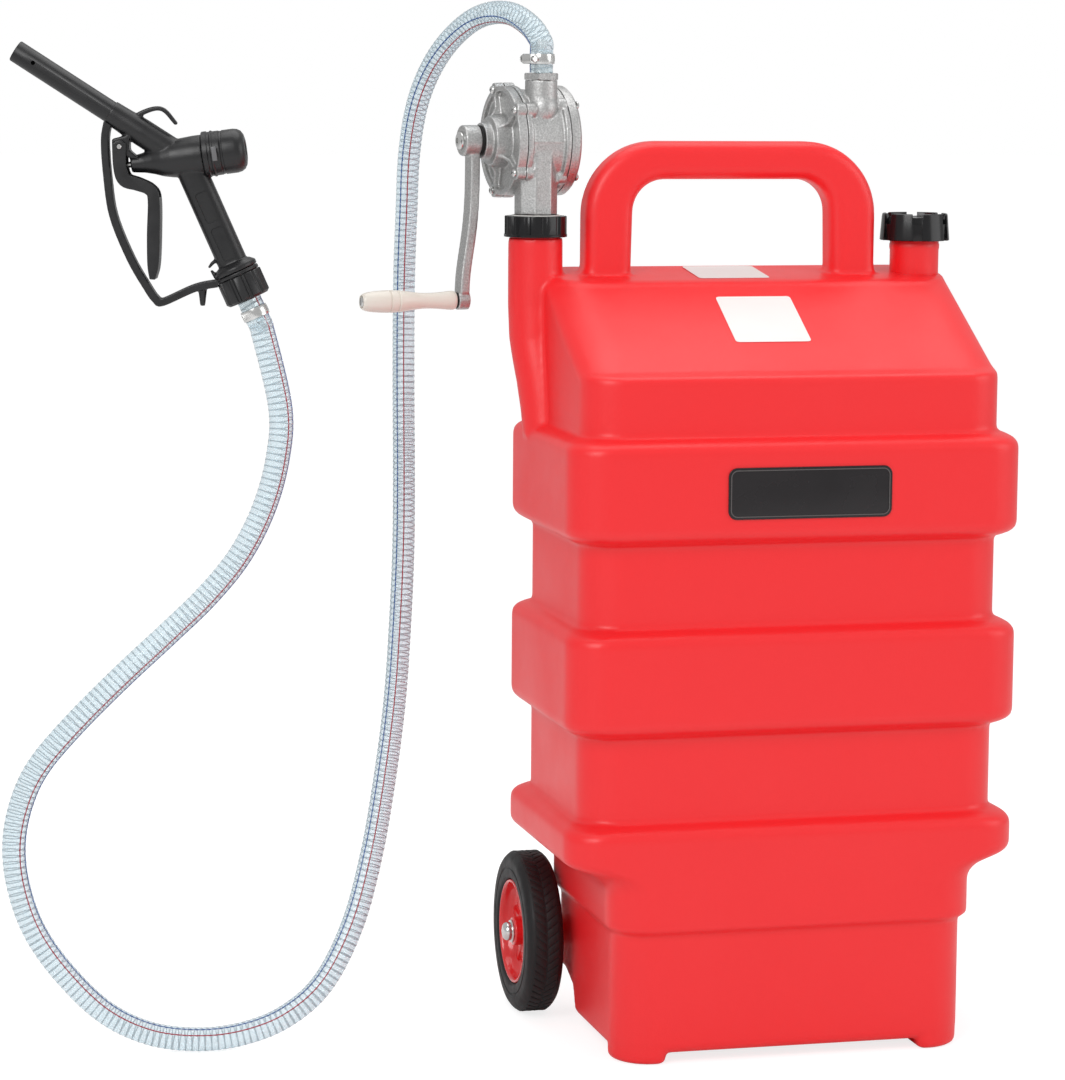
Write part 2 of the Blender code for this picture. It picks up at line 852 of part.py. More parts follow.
def handle_outline():
    """Front view of the handle loop as its outer and inner rounded edges."""
    half = handle_width / 2
    foot = deck_height - handle_sink
    outer = [(-half - overrun, foot), (-half, foot + handle_bar)]
    inner_half = half - handle_leg
    steps = arc_steps + 1
    for side, start in ((-1, 180), (1, 90)):
        for step in range(steps + 1):
            angle = radians(start - 90 * step / steps)
            x = side * (half - handle_outer_corner) + handle_outer_corner * cos(angle)
            z = handle_top - handle_outer_corner + handle_outer_corner * sin(angle)
            outer.append((x, z))
    outer += [(half, foot + handle_bar), (half + overrun, foot)]
    inner = [(inner_half + overrun, foot)]
    top = handle_top - handle_bar
    for side, start in ((1, 0), (-1, 90)):
        for step in range(steps + 1):
            angle = radians(start + 90 * step / steps)
            x = side * (inner_half - handle_inner_corner) + handle_inner_corner * cos(angle)
            z = top - handle_inner_corner + handle_inner_corner * sin(angle)
            inner.append((x, z))
    inner.append((-inner_half - overrun, foot))
    return outer + inner


def build_tank():
    """The hollow moulded tank with its feet, column, necks and carry handle."""
    tank = settle(loft("tank_shell", tank_rings(0)), red_plastic)
    join(tank, loft("column_outside", column_rings(column_radius)))
    handle = plate("handle_loop", handle_outline(), handle_thickness)
    soften(handle, handle_edge, 2)
    join(tank, carried(handle, None, (handle_centre, neck_y, 0), (radians(90), 0, 0)))
    for name, x in (("pump_neck", pump_neck_x), ("fill_neck", fill_neck_x)):
        profile = [(0, neck_top), (neck_radius, neck_top), (neck_radius, bead_height + 2 * bead_half),
                   (neck_radius + bead_proud, bead_height + bead_half),
                   (neck_radius + bead_proud, bead_height - bead_half),
                   (neck_radius, bead_height - 2 * bead_half), (neck_radius, deck_height - neck_root),
                   (0, deck_height - neck_root)]
        join(tank, carried(turned(name, profile, neck_sides), None, (x, neck_y, 0)))
    for name, side in (("left_foot", -1), ("right_foot", 1)):
        height = underside_height + foot_sink
        foot = block(name, (foot_width, foot_depth, height), (0, 0, height / 2))
        soften(foot, foot_edge, 2)
        foot_x = side * (lower_width / 2 - foot_inset - seat_gap)
        foot_y = -tank_depth / 2 + lower_proud + foot_depth / 2 + seat_gap
        join(tank, carried(foot, None, (foot_x, foot_y, 0)))
    cut(tank, side_plate("rear_notch", notch_outline(0), tank_width))
    hollow = loft("tank_hollow", tank_rings(tank_wall))
    cut(hollow, side_plate("notch_wall", notch_outline(tank_wall), tank_width))
    sleeve = cylinder("axle_sleeve", axle_tunnel + tank_wall, -tank_width, tank_width, round_medium)
    cut(hollow, carried(sleeve, None, (0, wheel_y, wheel_radius), (0, radians(90), 0)))
    cut(tank, hollow)
    cut(tank, loft("column_hollow", column_rings(column_radius - tank_wall)))
    for name, x in (("pump_neck_bore", pump_neck_x), ("fill_neck_bore", fill_neck_x)):
        bore = cylinder(name, neck_bore, deck_height - 2 * neck_root, neck_top + overrun, neck_sides)
        cut(tank, carried(bore, None, (x, neck_y, 0), (0, 0, pi / neck_sides)))
    tunnel = cylinder("axle_tunnel", axle_tunnel, -tank_width, tank_width, round_medium)
    cut(tank, carried(tunnel, None, (0, wheel_y, wheel_radius), (0, radians(90), 0)))
    return tank


def build_fill_cap():
    """The lobed fill cap and the gasket inside it."""
    frame = frame_empty("fill_cap_frame", None, (fill_neck_x, neck_y, 0))
    inner = neck_radius + run_gap
    profile = [(0, cap_deck), (cap_top_radius - cap_wall, cap_deck), (cap_top_radius - cap_wall, cap_top),
               (cap_top_radius - cap_rim / 3, cap_top), (cap_top_radius, cap_top - cap_rim / 3),
               (cap_foot_radius, cap_foot), (inner, cap_foot), (inner, cap_deck - cap_rim),
               (0, cap_deck - cap_rim)]
    cap = settle(turned("fill_cap", profile, round_cap), black_plastic, frame)
    tall = cap_top - cap_foot + 2 * overrun
    for number in range(cap_lobes):
        angle = 2 * pi * number / cap_lobes - pi / 2 + radians(nozzle_yaw)
        notch = block("cap_notch_%d" % (number + 1), (2 * cap_notch_depth, cap_notch_width, tall),
                      (cap_foot_radius, 0, (cap_top + cap_foot) / 2))
        cut(cap, carried(notch, frame, (0, 0, 0), (0, 0, angle)))
    top = cap_deck - cap_rim - seat_gap
    bottom = neck_top + seat_gap
    gasket = tube("fill_cap_gasket", neck_radius - run_gap, neck_bore, bottom, top, round_large)
    settle(gasket, seal_rubber, frame)


def ribbed_outline(radius, depth, ribs):
    """A round outline with ribs for a hand nut."""
    outline = []
    for number in range(ribs):
        for share, level in nut_rib_shares:
            angle = 2 * pi * (number + share) / ribs
            reach = radius - depth * (1 - level)
            outline.append((reach * cos(angle), reach * sin(angle)))
    return outline


def build_union(frame):
    """The union nut, its slip washer and the gasket on the pump neck."""
    nut = plate("union_nut", ribbed_outline(nut_radius, nut_rib_depth, nut_ribs), nut_top - nut_foot)
    settle(nut, black_plastic, frame, (0, 0, (nut_top + nut_foot) / 2))
    gasket_top = neck_top + seat_gap + gasket_thickness
    flange_top = gasket_top + seat_gap + pump_flange_thickness
    washer_top = flange_top + seat_gap + slip_washer_thickness
    hollow = cylinder("union_nut_bore", nut_bore, nut_foot - overrun, washer_top + seat_gap, round_large)
    cut(nut, carried(hollow, frame, (0, 0, 0), (0, 0, pi / round_large)))
    hole = cylinder("union_nut_hole", nut_hole, nut_foot - overrun, nut_top + overrun, round_large)
    cut(nut, carried(hole, frame))
    gasket = tube("neck_gasket", neck_radius - run_gap, neck_bore, neck_top + seat_gap, gasket_top,
                  round_large)
    settle(gasket, seal_rubber, frame)
    washer = tube("slip_washer", pump_flange_radius, nut_hole, flange_top + seat_gap, washer_top,
                  round_large)
    settle(washer, white_nylon, frame)
    return gasket_top + seat_gap, flange_top


def ring_spots(count, first, circle):
    """Places about the pump's axis: up along X, back along Y."""
    found = []
    for number in range(count):
        angle = radians(first + 360 * number / count)
        found.append((circle * sin(angle), -circle * cos(angle)))
    return found


def pegs(name, spots, radius, bottom, top, sides):
    """Upright cylinders at given places, as one cutter."""
    shape = bmesh.new()
    for x, y in spots:
        made = bmesh.ops.create_cone(shape, cap_ends=True, segments=sides, radius1=radius, radius2=radius,
                                     depth=top - bottom)
        bmesh.ops.translate(shape, vec=(x, y, (top + bottom) / 2), verts=made["verts"])
    data = bpy.data.meshes.new(name)
    shape.to_mesh(data)
    shape.free()
    return bpy.data.objects.new(name, data)


def build_pump_body(frame, axis, spots, flange_bottom, flange_top):
    """The cast body: barrel, inlet column, outlet boss and flanges, with its chamber and ports."""
    profile = [(0, barrel_front), (flange_radius, barrel_front),
               (flange_radius, barrel_front - flange_thickness),
               (barrel_radius, barrel_front - flange_thickness),
               (barrel_radius, -barrel_back + flange_thickness),
               (flange_radius, -barrel_back + flange_thickness), (flange_radius, -barrel_back),
               (0, -barrel_back)]
    body = settle(turned("pump_body", profile, pump_sides), cast_metal, axis)
    join(body, carried(pegs("body_lugs", spots[0], lug_radius, barrel_front - 2 * flange_thickness,
                            barrel_front - seat_gap, round_fine), axis))
    half = column_across / 2
    corner = half / cos(pi / 8)
    outline = [(corner * cos(pi / 8 + pi * step / 4),
                corner * sin(pi / 8 + pi * step / 4)) for step in range(8)]
    tall = axis_height - column_merge - column_foot
    join(body, carried(plate("inlet_column", outline, tall), frame, (0, 0, column_foot + tall / 2)))
    neck = [(0, column_foot + overrun), (nut_hole - run_gap, column_foot + overrun),
            (nut_hole - run_gap, flange_top), (pump_flange_radius, flange_top),
            (pump_flange_radius, flange_bottom), (0, flange_bottom)]
    join(body, carried(turned("column_flange", neck, round_large), frame))
    boss = cylinder("outlet_boss", outlet_radius, axis_height + column_merge, outlet_top, round_medium)
    join(body, carried(boss, frame, (outlet_shift, 0, 0)))
    clear_radius = flange_radius + 2 * lug_radius
    clear = cylinder("cover_space", clear_radius, barrel_front + seat_gap / 2,
                     barrel_front + 2 * cover_rim, pump_sides)
    cut(body, carried(clear, axis))
    chamber = cylinder("pump_chamber", chamber_radius, -barrel_back - overrun, barrel_front + overrun,
                       pump_sides)
    cut(body, carried(chamber, axis, (0, chamber_offset, 0), (0, 0, pi / pump_sides)))
    inlet = cylinder("inlet_port", port_bore, flange_bottom - overrun, axis_height - chamber_radius / 2,
                     round_small)
    cut(body, carried(inlet, frame, (0, 0, 0), (0, 0, pi / round_small)))
    outlet = cylinder("outlet_port", port_bore - run_gap, axis_height + chamber_radius / 2,
                      outlet_top + overrun, round_small)
    cut(body, carried(outlet, frame, (outlet_shift, 0, 0), (0, 0, pi / round_small)))
    spigot = cylinder("outlet_socket", spigot_bore, outlet_top - spigot_depth - seat_gap,
                      outlet_top + overrun, round_small)
    cut(body, carried(spigot, frame, (outlet_shift, 0, 0)))
    hole = screw_radius + screw_clearance
    deep = screw_reach + 2 * seat_gap
    cut(body, carried(pegs("body_front_holes", spots[0], hole, barrel_front - deep,
                           barrel_front + overrun, round_tiny), axis))
    cut(body, carried(pegs("body_back_holes", spots[1], hole, -barrel_back - overrun,
                           -barrel_back + deep, round_tiny), axis))
    return body


def build_covers(axis, spots):
    """The ribbed front cover with its stepped boss, and the back cover with its bearing."""
    base = barrel_front + seat_gap
    rim_top = base + cover_rim
    web_top = base + cover_web
    boss_top = barrel_front + boss_reach
    nose_top = barrel_front + nose_reach
    bore = shaft_radius + run_gap / 2
    inner = flange_radius - 2 * seat_gap - cover_rim_width
    profile = [(bore, nose_top), (nose_radius, nose_top), (nose_radius, boss_top), (boss_radius, boss_top),
               (boss_radius + overrun, web_top), (inner, web_top), (inner, rim_top),
               (flange_radius - 2 * seat_gap, rim_top), (flange_radius - 2 * seat_gap, base), (bore, base)]
    front = settle(turned("pump_front_cover", profile, pump_sides, True), cast_metal, axis)
    for number, (x, y) in enumerate(spots[0]):
        reach = flange_radius - cover_rim_width / 2
        length = reach - nose_radius
        rib = block("cover_rib_%d" % (number + 1), (length, cover_rib_width, cover_rib_height),
                    (nose_radius + length / 2, 0, web_top + cover_rib_height / 2 - overrun / 2))
        join(front, carried(rib, axis, (0, 0, 0), (0, 0, atan2(y, x))))
    join(front, carried(pegs("cover_lugs", spots[0], lug_radius, base + seat_gap, rim_top + seat_gap,
                             round_fine), axis))
    hole = screw_radius + screw_clearance
    cut(front, carried(pegs("cover_holes", spots[0], hole, base - overrun, rim_top + overrun,
                            round_tiny), axis))
    back_base = -barrel_back - seat_gap
    back_end = back_base - back_cover_thickness
    dish = back_end + back_cover_dish
    recess = back_base - bearing_depth
    pocket = shaft_radius + run_gap / 2
    outline = [(0, recess), (pocket, recess), (pocket, back_base), (flange_radius, back_base),
               (flange_radius, back_end + seat_gap), (flange_radius - overrun, back_end),
               (back_cover_dish_radius, back_end), (back_cover_dish_radius - back_cover_dish, dish),
               (boss_radius / 2 + back_cover_dish, dish), (boss_radius / 2, back_end), (0, back_end)]
    back = settle(turned("pump_back_cover", outline, pump_sides), cast_metal, axis)
    cut(back, carried(pegs("back_holes", spots[1], hole, back_end - overrun, back_base + overrun,
                           round_tiny), axis))
    return rim_top + seat_gap, back_end, nose_top


def build_cover_screws(axis, spots, front_face, back_face):
    """Pan head screws, five for the front cover and four for the back one."""
    front_length = front_face - barrel_front + screw_reach
    back_length = -barrel_back - back_face + screw_reach
    for side, places, face, length, flip in (("front", spots[0], front_face, front_length, 0),
                                             ("back", spots[1], back_face, back_length, pi)):
        for number, (x, y) in enumerate(places):
            head = screw_head_height
            profile = [(0, head + seat_gap), (screw_head_radius * head_flat_share, head + seat_gap),
                       (screw_head_radius, head / 2), (screw_head_radius, seat_gap),
                       (screw_radius, seat_gap),
                       (screw_radius, -length), (0, -length)]
            screw = turned("%s_cover_screw_%d" % (side, number + 1), profile, round_tiny)
            settle(screw, bright_steel, axis, (x, y, face), (flip, 0, 0))


def build_rotor(crank, nose_top):
    """Shaft, rotor, vanes and shaft seal."""
    start = -barrel_back - seat_gap - bearing_depth + seat_gap
    end = hub_end - crank_screw_head / 2
    profile = [(0, end), (shaft_radius, end), (shaft_radius, start), (0, start)]
    shaft = settle(turned("pump_shaft", profile, round_small), bright_steel, crank)
    hole = cylinder("shaft_thread", crank_screw_shank + seat_gap, end - crank_screw_depth - seat_gap,
                    end + overrun, round_fine)
    cut(shaft, carried(hole, crank))
    low = -barrel_back + seat_gap
    high = barrel_front - seat_gap
    rotor = settle(tube("pump_rotor", rotor_radius, shaft_radius + seat_gap, low, high, pump_sides),
                   cast_metal, crank)
    deep = vane_depth + seat_gap
    slot_thick = vane_thickness + 2 * seat_gap
    for side, sign in (("upper", 1), ("lower", -1)):
        reach = rotor_radius - deep
        slot = block("%s_vane_slot" % side, (deep + overrun, slot_thick, high - low + 2 * overrun),
                     (sign * (reach + (deep + overrun) / 2), 0, (high + low) / 2))
        cut(rotor, carried(slot, crank))
        vane = block("%s_vane" % side, (vane_depth + vane_proud, vane_thickness, high - low - 2 * seat_gap),
                     (sign * (rotor_radius - vane_depth + (vane_depth + vane_proud) / 2), 0,
                      (high + low) / 2))
        settle(vane, carbon_vane, crank)
    seal = tube("shaft_seal", seal_radius, shaft_radius + seat_gap, nose_top + seat_gap,
                nose_top + seat_gap + seal_thickness, round_medium)
    settle(seal, seal_rubber, crank)


def build_crank(crank):
    """The swan-necked crank arm and the screw that holds it."""
    bore = shaft_radius + seat_gap
    profile = [(bore, hub_end), (crank_hub_radius - seal_thickness / 2, hub_end),
               (crank_hub_radius, hub_end - seal_thickness / 2), (crank_hub_radius, hub_start),
               (bore, hub_start)]
    arm = settle(turned("crank_arm", profile, round_medium, True), cast_metal, crank)
    centre = [(share * crank_radius, arm_first + (arm_last - arm_first) * sway)
              for share, sway in arm_sway_shares]
    starts = crank_hub_radius - overrun
    ends = crank_radius - eye_radius + overrun
    centre = [(-min(max(down, starts), ends), out) for down, out in centre]
    bar = plate("arm_bar", strip(centre, [arm_thickness] * len(centre)), arm_width)
    soften(bar, arm_thickness / 5, 1)
    join(arm, carried(bar, crank, (0, 0, 0), (radians(90), 0, 0)))
    eye = cylinder("arm_eye", eye_radius, arm_last - eye_half, arm_last + eye_half, round_medium)
    join(arm, carried(eye, crank, (-crank_radius, 0, 0)))
    cut(arm, carried(cylinder("arm_bore", bore, hub_start - overrun, hub_end + overrun, round_medium),
                     crank))
    hole = cylinder("eye_hole", grip_bolt_radius + seat_gap, arm_last - eye_half - overrun,
                    arm_last + eye_half + overrun, round_small)
    cut(arm, carried(hole, crank, (-crank_radius, 0, 0)))
    seat = hub_end + seat_gap
    shaft_end = hub_end - crank_screw_head / 2
    head = [(0, seat + crank_screw_head),
            (crank_screw_radius * crank_screw_flat_share, seat + crank_screw_head),
            (crank_screw_radius + overrun, seat + crank_screw_head / 2),
            (crank_screw_radius + overrun, seat),
            (crank_screw_shank, seat), (crank_screw_shank, shaft_end - crank_screw_depth),
            (0, shaft_end - crank_screw_depth)]
    settle(turned("crank_screw", head, round_fine), bright_steel, crank)


def build_crank_grip(grip):
    """The turned wooden grip that spins on its bolt."""
    start = arm_last + eye_half + seat_gap + grip_washer + seat_gap
    bolt_end = start + grip_length
    stations = [(share, radius_share * grip_radius) for share, radius_share in grip_radii_shares]
    stations.sort(key=lambda station: -station[0])
    recess = grip_bolt_head_height - grip_recess
    hollow = grip_bolt_head + seat_gap * 2
    bore = grip_bolt_radius + seat_gap
    profile = [(hollow, bolt_end)]
    profile += [(radius, start + share * grip_length) for share, radius in stations]
    profile += [(bore, start), (bore, bolt_end - grip_recess), (hollow, bolt_end - grip_recess)]
    settle(turned("crank_grip", profile, round_small, True), cream_wood, grip)
    head_foot = bolt_end - grip_recess + seat_gap
    head_top = head_foot + grip_recess + recess
    bolt_start = arm_last - eye_half - overrun
    bolt = [(0, head_top), (grip_bolt_head * head_flat_share, head_top), (grip_bolt_head, head_top - recess),
            (grip_bolt_head, head_foot), (grip_bolt_radius, head_foot), (grip_bolt_radius, bolt_start),
            (0, bolt_start)]
    settle(turned("grip_bolt", bolt, round_fine), bright_steel, grip)
    washer = tube("grip_washer", eye_radius * grip_washer_share, bore, arm_last + eye_half + seat_gap,
                  arm_last + eye_half + seat_gap + grip_washer, round_small)
    settle(washer, seal_rubber, grip)


def build_suction(frame, flange_bottom):
    """The suction tube in the tank and the strainer at its foot."""
    top = Vector((pump_neck_x, neck_y, flange_bottom - seat_gap))
    tall = deck_height - suction_foot
    route = [top]
    for share, (lean_x, lean_y) in zip(suction_height_shares, suction_lean):
        route.append(Vector((pump_neck_x + lean_x, neck_y + lean_y, suction_foot + tall * share)))
    pipe = settle(rod("suction_tube", route, suction_radius, 2), white_nylon)
    bore_route = [top + Vector((0, 0, overrun))] + route + [route[-1] - Vector((0, 0, overrun))]
    cut(pipe, rod("suction_bore", bore_route, suction_bore, 1))
    foot = route[-1]
    lid = foot.z - seat_gap
    low = lid - strainer_height
    wall = strainer_radius - suction_bore
    profile = [(suction_bore, lid), (strainer_radius, lid), (strainer_radius, low), (0, low),
               (0, low + wall / 2), (strainer_radius - wall / 2, low + wall / 2),
               (strainer_radius - wall / 2, lid - wall / 2), (suction_bore, lid - wall / 2)]
    strainer = settle(turned("foot_strainer", profile, round_small, True), black_plastic, None,
                      (foot.x, foot.y, 0))
    for number in range(strainer_slots // 2):
        slot = block("strainer_slot_%d" % (number + 1),
                     (3 * strainer_radius, strainer_slot_width, strainer_height - 3 * wall),
                     (0, 0, (lid + low) / 2))
        cut(strainer, carried(slot, None, (foot.x, foot.y, 0), (0, 0, 2 * pi * number / strainer_slots)))


def hex_plate(name, across, thickness):
    corner = across / 2 / cos(pi / 6)
    outline = [(corner * cos(pi * step / 3), corner * sin(pi * step / 3)) for step in range(6)]
    return plate(name, outline, thickness)


def build_outlet_fitting(frame):
    """The hex fitting screwed into the pump's outlet, with its barb."""
    seat = outlet_top + seat_gap
    top = seat + fitting_hex_height
    tip = top + barb_length
    socket = spigot_bore - seat_gap
    fitting = settle(hex_plate("outlet_fitting", fitting_hex, fitting_hex_height), cast_metal, frame,
                     (outlet_shift, 0, seat + fitting_hex_height / 2))
    third = barb_length / 3
    profile = [(0, tip), (barb_radius - barb_step, tip), (barb_radius, tip - third / 2),
               (barb_radius - barb_step, tip - third), (barb_radius, tip - third - third / 2),
               (barb_radius - barb_step, top + third / 2), (barb_radius, top - overrun / 2),
               (socket, seat + overrun / 2), (socket, outlet_top - spigot_depth),
               (0, outlet_top - spigot_depth)]
    join(fitting, carried(turned("fitting_barb", profile, round_small), frame, (outlet_shift, 0, 0)))
    bore = cylinder("fitting_bore", fitting_bore, outlet_top - spigot_depth - overrun, tip + overrun,
                    round_small)
    cut(fitting, carried(bore, frame, (outlet_shift, 0, 0)))
    return top + seat_gap


def build_hose_clamp(name, carrier, along, turn_about):
    """A worm-drive band with its housing and screw, about the carrier's Z axis."""
    inner = hose_radius + seat_gap
    outer = inner + clamp_thickness
    band = tube(name, outer, inner, along - clamp_width / 2, along + clamp_width / 2, round_medium)
    settle(band, bright_steel, carrier, (0, 0, 0), (0, 0, turn_about))
    stand = outer + clamp_housing / 2 - clamp_thickness / 2
    box = block(name + "_housing", (clamp_housing, clamp_housing_length, clamp_width), (stand, 0, along))
    join(band, carried(box, carrier, (0, 0, 0), (0, 0, turn_about)))
    worm = cylinder(name + "_worm_hole", clamp_screw + seat_gap, -clamp_housing_length,
                    clamp_housing_length, round_fine)
    cut(band, carried(worm, band, (stand, 0, along), (radians(90), 0, 0)))
    tail = clamp_housing_length / 2
    head = tail + seat_gap
    profile = [(0, head + clamp_screw_head_height), (clamp_screw_head, head + clamp_screw_head_height),
               (clamp_screw_head, head), (clamp_screw, head), (clamp_screw, head - clamp_screw_length),
               (0, head - clamp_screw_length)]
    screw = turned(name + "_screw", profile, round_fine)
    settle(screw, bright_steel, band, (stand, 0, along), (radians(90), 0, 0))


def build_hose(start, start_way, end, end_way):
    """The free hose with its ribs and bore, straight for one diameter at both ends."""
    first = [start + start_way * hose_straight * share for share in hose_end_shares]
    last = [end + end_way * hose_straight * share for share in reversed(hose_end_shares)]
    middle = smooth_path(first + [Vector(spot) for spot in hose_route] + last, hose_smoothing)
    count = 2 * hose_ribs + 1
    path = even_path(middle, count)
    radii = [hose_radius - hose_rib_depth * (number % 2) for number in range(count)]
    hose = settle(rod("hose", path, hose_radius, 2, radii), clear_hose)
    bore_path = [start - start_way * overrun] + sparse_path(path, hose_bore_turn, hose_bore_reach)
    bore_path.append(end - end_way * overrun)
    cut(hose, rod("hose_bore", bore_path, hose_bore, 1))
    length = path_length(path)
    print("hose length %.3f m" % length)
    apart = int(4 * hose_radius / (length / (count - 1))) + 1
    least = min((path[i] - path[j]).length
                for i in range(0, count, 2) for j in range(i + 4 * apart, count, 2))
    print("least gap of the hose to itself %.1f mm" % (1000 * (least - 2 * hose_radius)))
    tightest = 0
    for a, b, c in zip(path, path[3:], path[6:]):
        turn = acos(max(-1, min(1, (b - a).normalized().dot((c - b).normalized()))))
        tightest = max(tightest, turn / (c - a).length * 2)
    print("tightest bend radius %.1f mm" % (1000 / tightest))
    return hose


def plane_plate(name, outline, width, frame):
    """A plate whose outline lies in the nozzle frame's X and Z."""
    return carried(plate(name, outline, width), frame, (0, 0, 0), (radians(90), 0, 0))


def tilted_frame(name, frame, spot, tilt):
    """An empty whose Z axis lies in the nozzle's plane, tilted from level."""
    return frame_empty(name, frame, (spot[0], 0, spot[1]), (0, radians(90 - tilt), 0))


def build_nozzle(frame, barrel, spout, grip):
    """The nozzle's moulded body with its barrel, hand grip, sleeve, ear and hook."""
    nose = barrel_nose_radius
    full = barrel_full_radius
    profile = [(0, barrel_length), (full, barrel_length)]
    profile += [(full * out, barrel_length * along) for out, along in barrel_shares]
    profile += [(nose * barrel_nose_share, barrel_length / 4), (nose, 0), (0, 0)]
    body = settle(turned("nozzle_body", profile, round_large), nozzle_plastic, barrel)
    outline = rounded_outline(handgrip_width, handgrip_thickness,
                              handgrip_thickness * handgrip_corner_share, 3)
    tall = handgrip_length - overrun + handgrip_root
    handle = plate("hand_grip", outline, tall)
    join(body, carried(handle, grip, (0, 0, tall / 2 - handgrip_root)))
    base = cylinder("grip_base", inlet_flange_radius, handgrip_length - inlet_flange_thickness,
                    handgrip_length, round_large)
    join(body, carried(base, grip))
    sleeve = cylinder("spout_sleeve", sleeve_radius, -sleeve_length, spout_plug, round_medium)
    join(body, carried(sleeve, spout))
    pivot_x, pivot_z = trigger_pivot
    nose_x, nose_z = barrel_axis_point
    web = [(pivot_x - ear_radius, pivot_z + ear_radius), (pivot_x - ear_radius, pivot_z),
           (pivot_x - ear_radius * ear_corner_share, pivot_z - ear_radius * ear_corner_share),
           (pivot_x, pivot_z - ear_radius), (nose_x + overrun / 3, nose_z + 3 * nose / 4),
           (nose_x + 4 * overrun, nose_z + 3 * nose / 4),
           (pivot_x + ear_radius + overrun, pivot_z - ear_radius / 2),
           (pivot_x + ear_radius + overrun, pivot_z + ear_radius * ear_top_share)]
    join(body, plane_plate("trigger_ear", web, ear_width, frame))
    hook_widths = [hook_thickness] * (len(hook_points) - 1) + [hook_thickness * hook_tip_share]
    hook_path = [(hook_points[0][0] + overrun, hook_points[0][1] - 2 * overrun)] + list(hook_points)[1:]
    join(body, plane_plate("top_hook", strip(hook_path, hook_widths), hook_width, frame))
    for number, points in enumerate(catch_points):
        widths = (catch_thickness, catch_thickness, catch_thickness * catch_tip_share)
        join(body, plane_plate("catch_%d" % (number + 1), strip(points, widths), catch_width, frame))
    pin_hole = cylinder("ear_hole", pin_radius + seat_gap, -ear_width, ear_width, round_small)
    cut(body, carried(pin_hole, frame, (pivot_x, 0, pivot_z), (radians(90), 0, 0)))
    rear = cylinder("rear_space", collar_radius + seat_gap, barrel_length, barrel_length + 2 * collar_length,
                    round_large)
    cut(body, carried(rear, barrel))
    chamber = cylinder("valve_chamber", valve_chamber_radius, barrel_length - valve_chamber_depth,
                       barrel_length + overrun, round_medium)
    cut(body, carried(chamber, barrel))
    stem_hole = cylinder("stem_hole", stem_radius + seat_gap, -overrun, barrel_length, round_fine)
    cut(body, carried(stem_hole, barrel))
    inlet = cylinder("grip_passage", grip_bore, -handgrip_root / 2, handgrip_length + overrun, round_small)
    cut(body, carried(inlet, grip))
    socket = cylinder("spout_socket", spout_radius + seat_gap, -sleeve_length - overrun, 0, round_medium)
    cut(body, carried(socket, spout, (0, 0, 0), (0, 0, pi / round_medium)))
    passage = cylinder("spout_passage", spout_bore * spout_passage_share, -overrun, spout_passage_length,
                       round_small)
    cut(body, carried(passage, spout, (0, 0, 0), (0, 0, pi / round_small)))
    return body


def build_spout(spout):
    """The bare spout tube with its sensing hole near the tip."""
    pipe = tube("spout", spout_radius, spout_bore, -spout_length, -seat_gap, round_medium)
    settle(pipe, nozzle_plastic, spout)
    hole = cylinder("spout_sensing_hole", spout_bore / 4, 0, 2 * spout_radius, round_fine)
    cut(pipe, carried(hole, spout, (0, 0, -spout_length + 2 * spout_radius), (radians(90), 0, 0)))


def build_valve(barrel):
    """Collar, rear cap, stem, valve disc and spring."""
    start = barrel_length + seat_gap
    collar_end = start + collar_length
    bore = valve_chamber_radius
    ridge = collar_radius - seat_gap * 3
    levels = [start + collar_length * share for share in collar_shares]
    profile = [(bore, collar_end), (ridge, collar_end), (collar_radius, levels[0]), (ridge, levels[1]),
               (collar_radius, levels[2]), (collar_radius, start), (bore, start)]
    collar = settle(turned("collar_ring", profile, round_large, True), nozzle_plastic, barrel)
    seat = collar_end + seat_gap
    cap_end = seat + cap_length
    guide = valve_guide_radius
    wall = cap_rounding / 2
    room = spring_radius + 3 * spring_wire
    cap_profile = [(0, cap_end), (cap_radius_rear * cap_flat_share, cap_end),
                   (cap_radius_rear - cap_rounding * cap_round_share, cap_end - wall),
                   (cap_radius_rear, cap_end - cap_rounding), (cap_radius_rear, seat), (room, seat),
                   (room, cap_end - 2 * wall), (0, cap_end - 2 * wall)]
    settle(turned("valve_cap", cap_profile, round_large), nozzle_plastic, barrel)
    tab = block("collar_tab", tab_size, (0, 0, 0))
    settle(tab, white_nylon, barrel,
           (0, -collar_radius - tab_size[1] / 2 - seat_gap, start + collar_length * collar_tab_share),
           (0, radians(90), 0))
    disc_front = barrel_length - valve_chamber_depth + seat_gap
    disc_back = disc_front + valve_disc_thickness
    disc = tube("valve_disc", valve_disc_radius, stem_radius + seat_gap, disc_front, disc_back, round_medium)
    settle(disc, seal_rubber, barrel)
    stem_back = disc_back + seat_gap
    plate_radius = spring_radius + 2 * spring_wire
    stem_profile = [(0, stem_back + stem_head), (plate_radius, stem_back + stem_head),
                    (plate_radius, stem_back),
                    (stem_radius, stem_back), (stem_radius, -stem_reach), (0, -stem_reach)]
    settle(turned("valve_stem", stem_profile, round_fine), bright_steel, barrel)
    spring_start = stem_back + stem_head + seat_gap + spring_wire
    travel = stem_travel_ratio * radians(trigger_swing)
    spring_end = cap_end - 2 * wall - travel - spring_wire - seat_gap
    count = spring_turns * spring_points
    path = []
    for number in range(count + 1):
        angle = 2 * pi * number / spring_points
        height = spring_start + (spring_end - spring_start) * number / count
        path.append((spring_radius * cos(angle), spring_radius * sin(angle), height))
    settle(rod("valve_spring", path, spring_wire, 0), bright_steel, barrel)


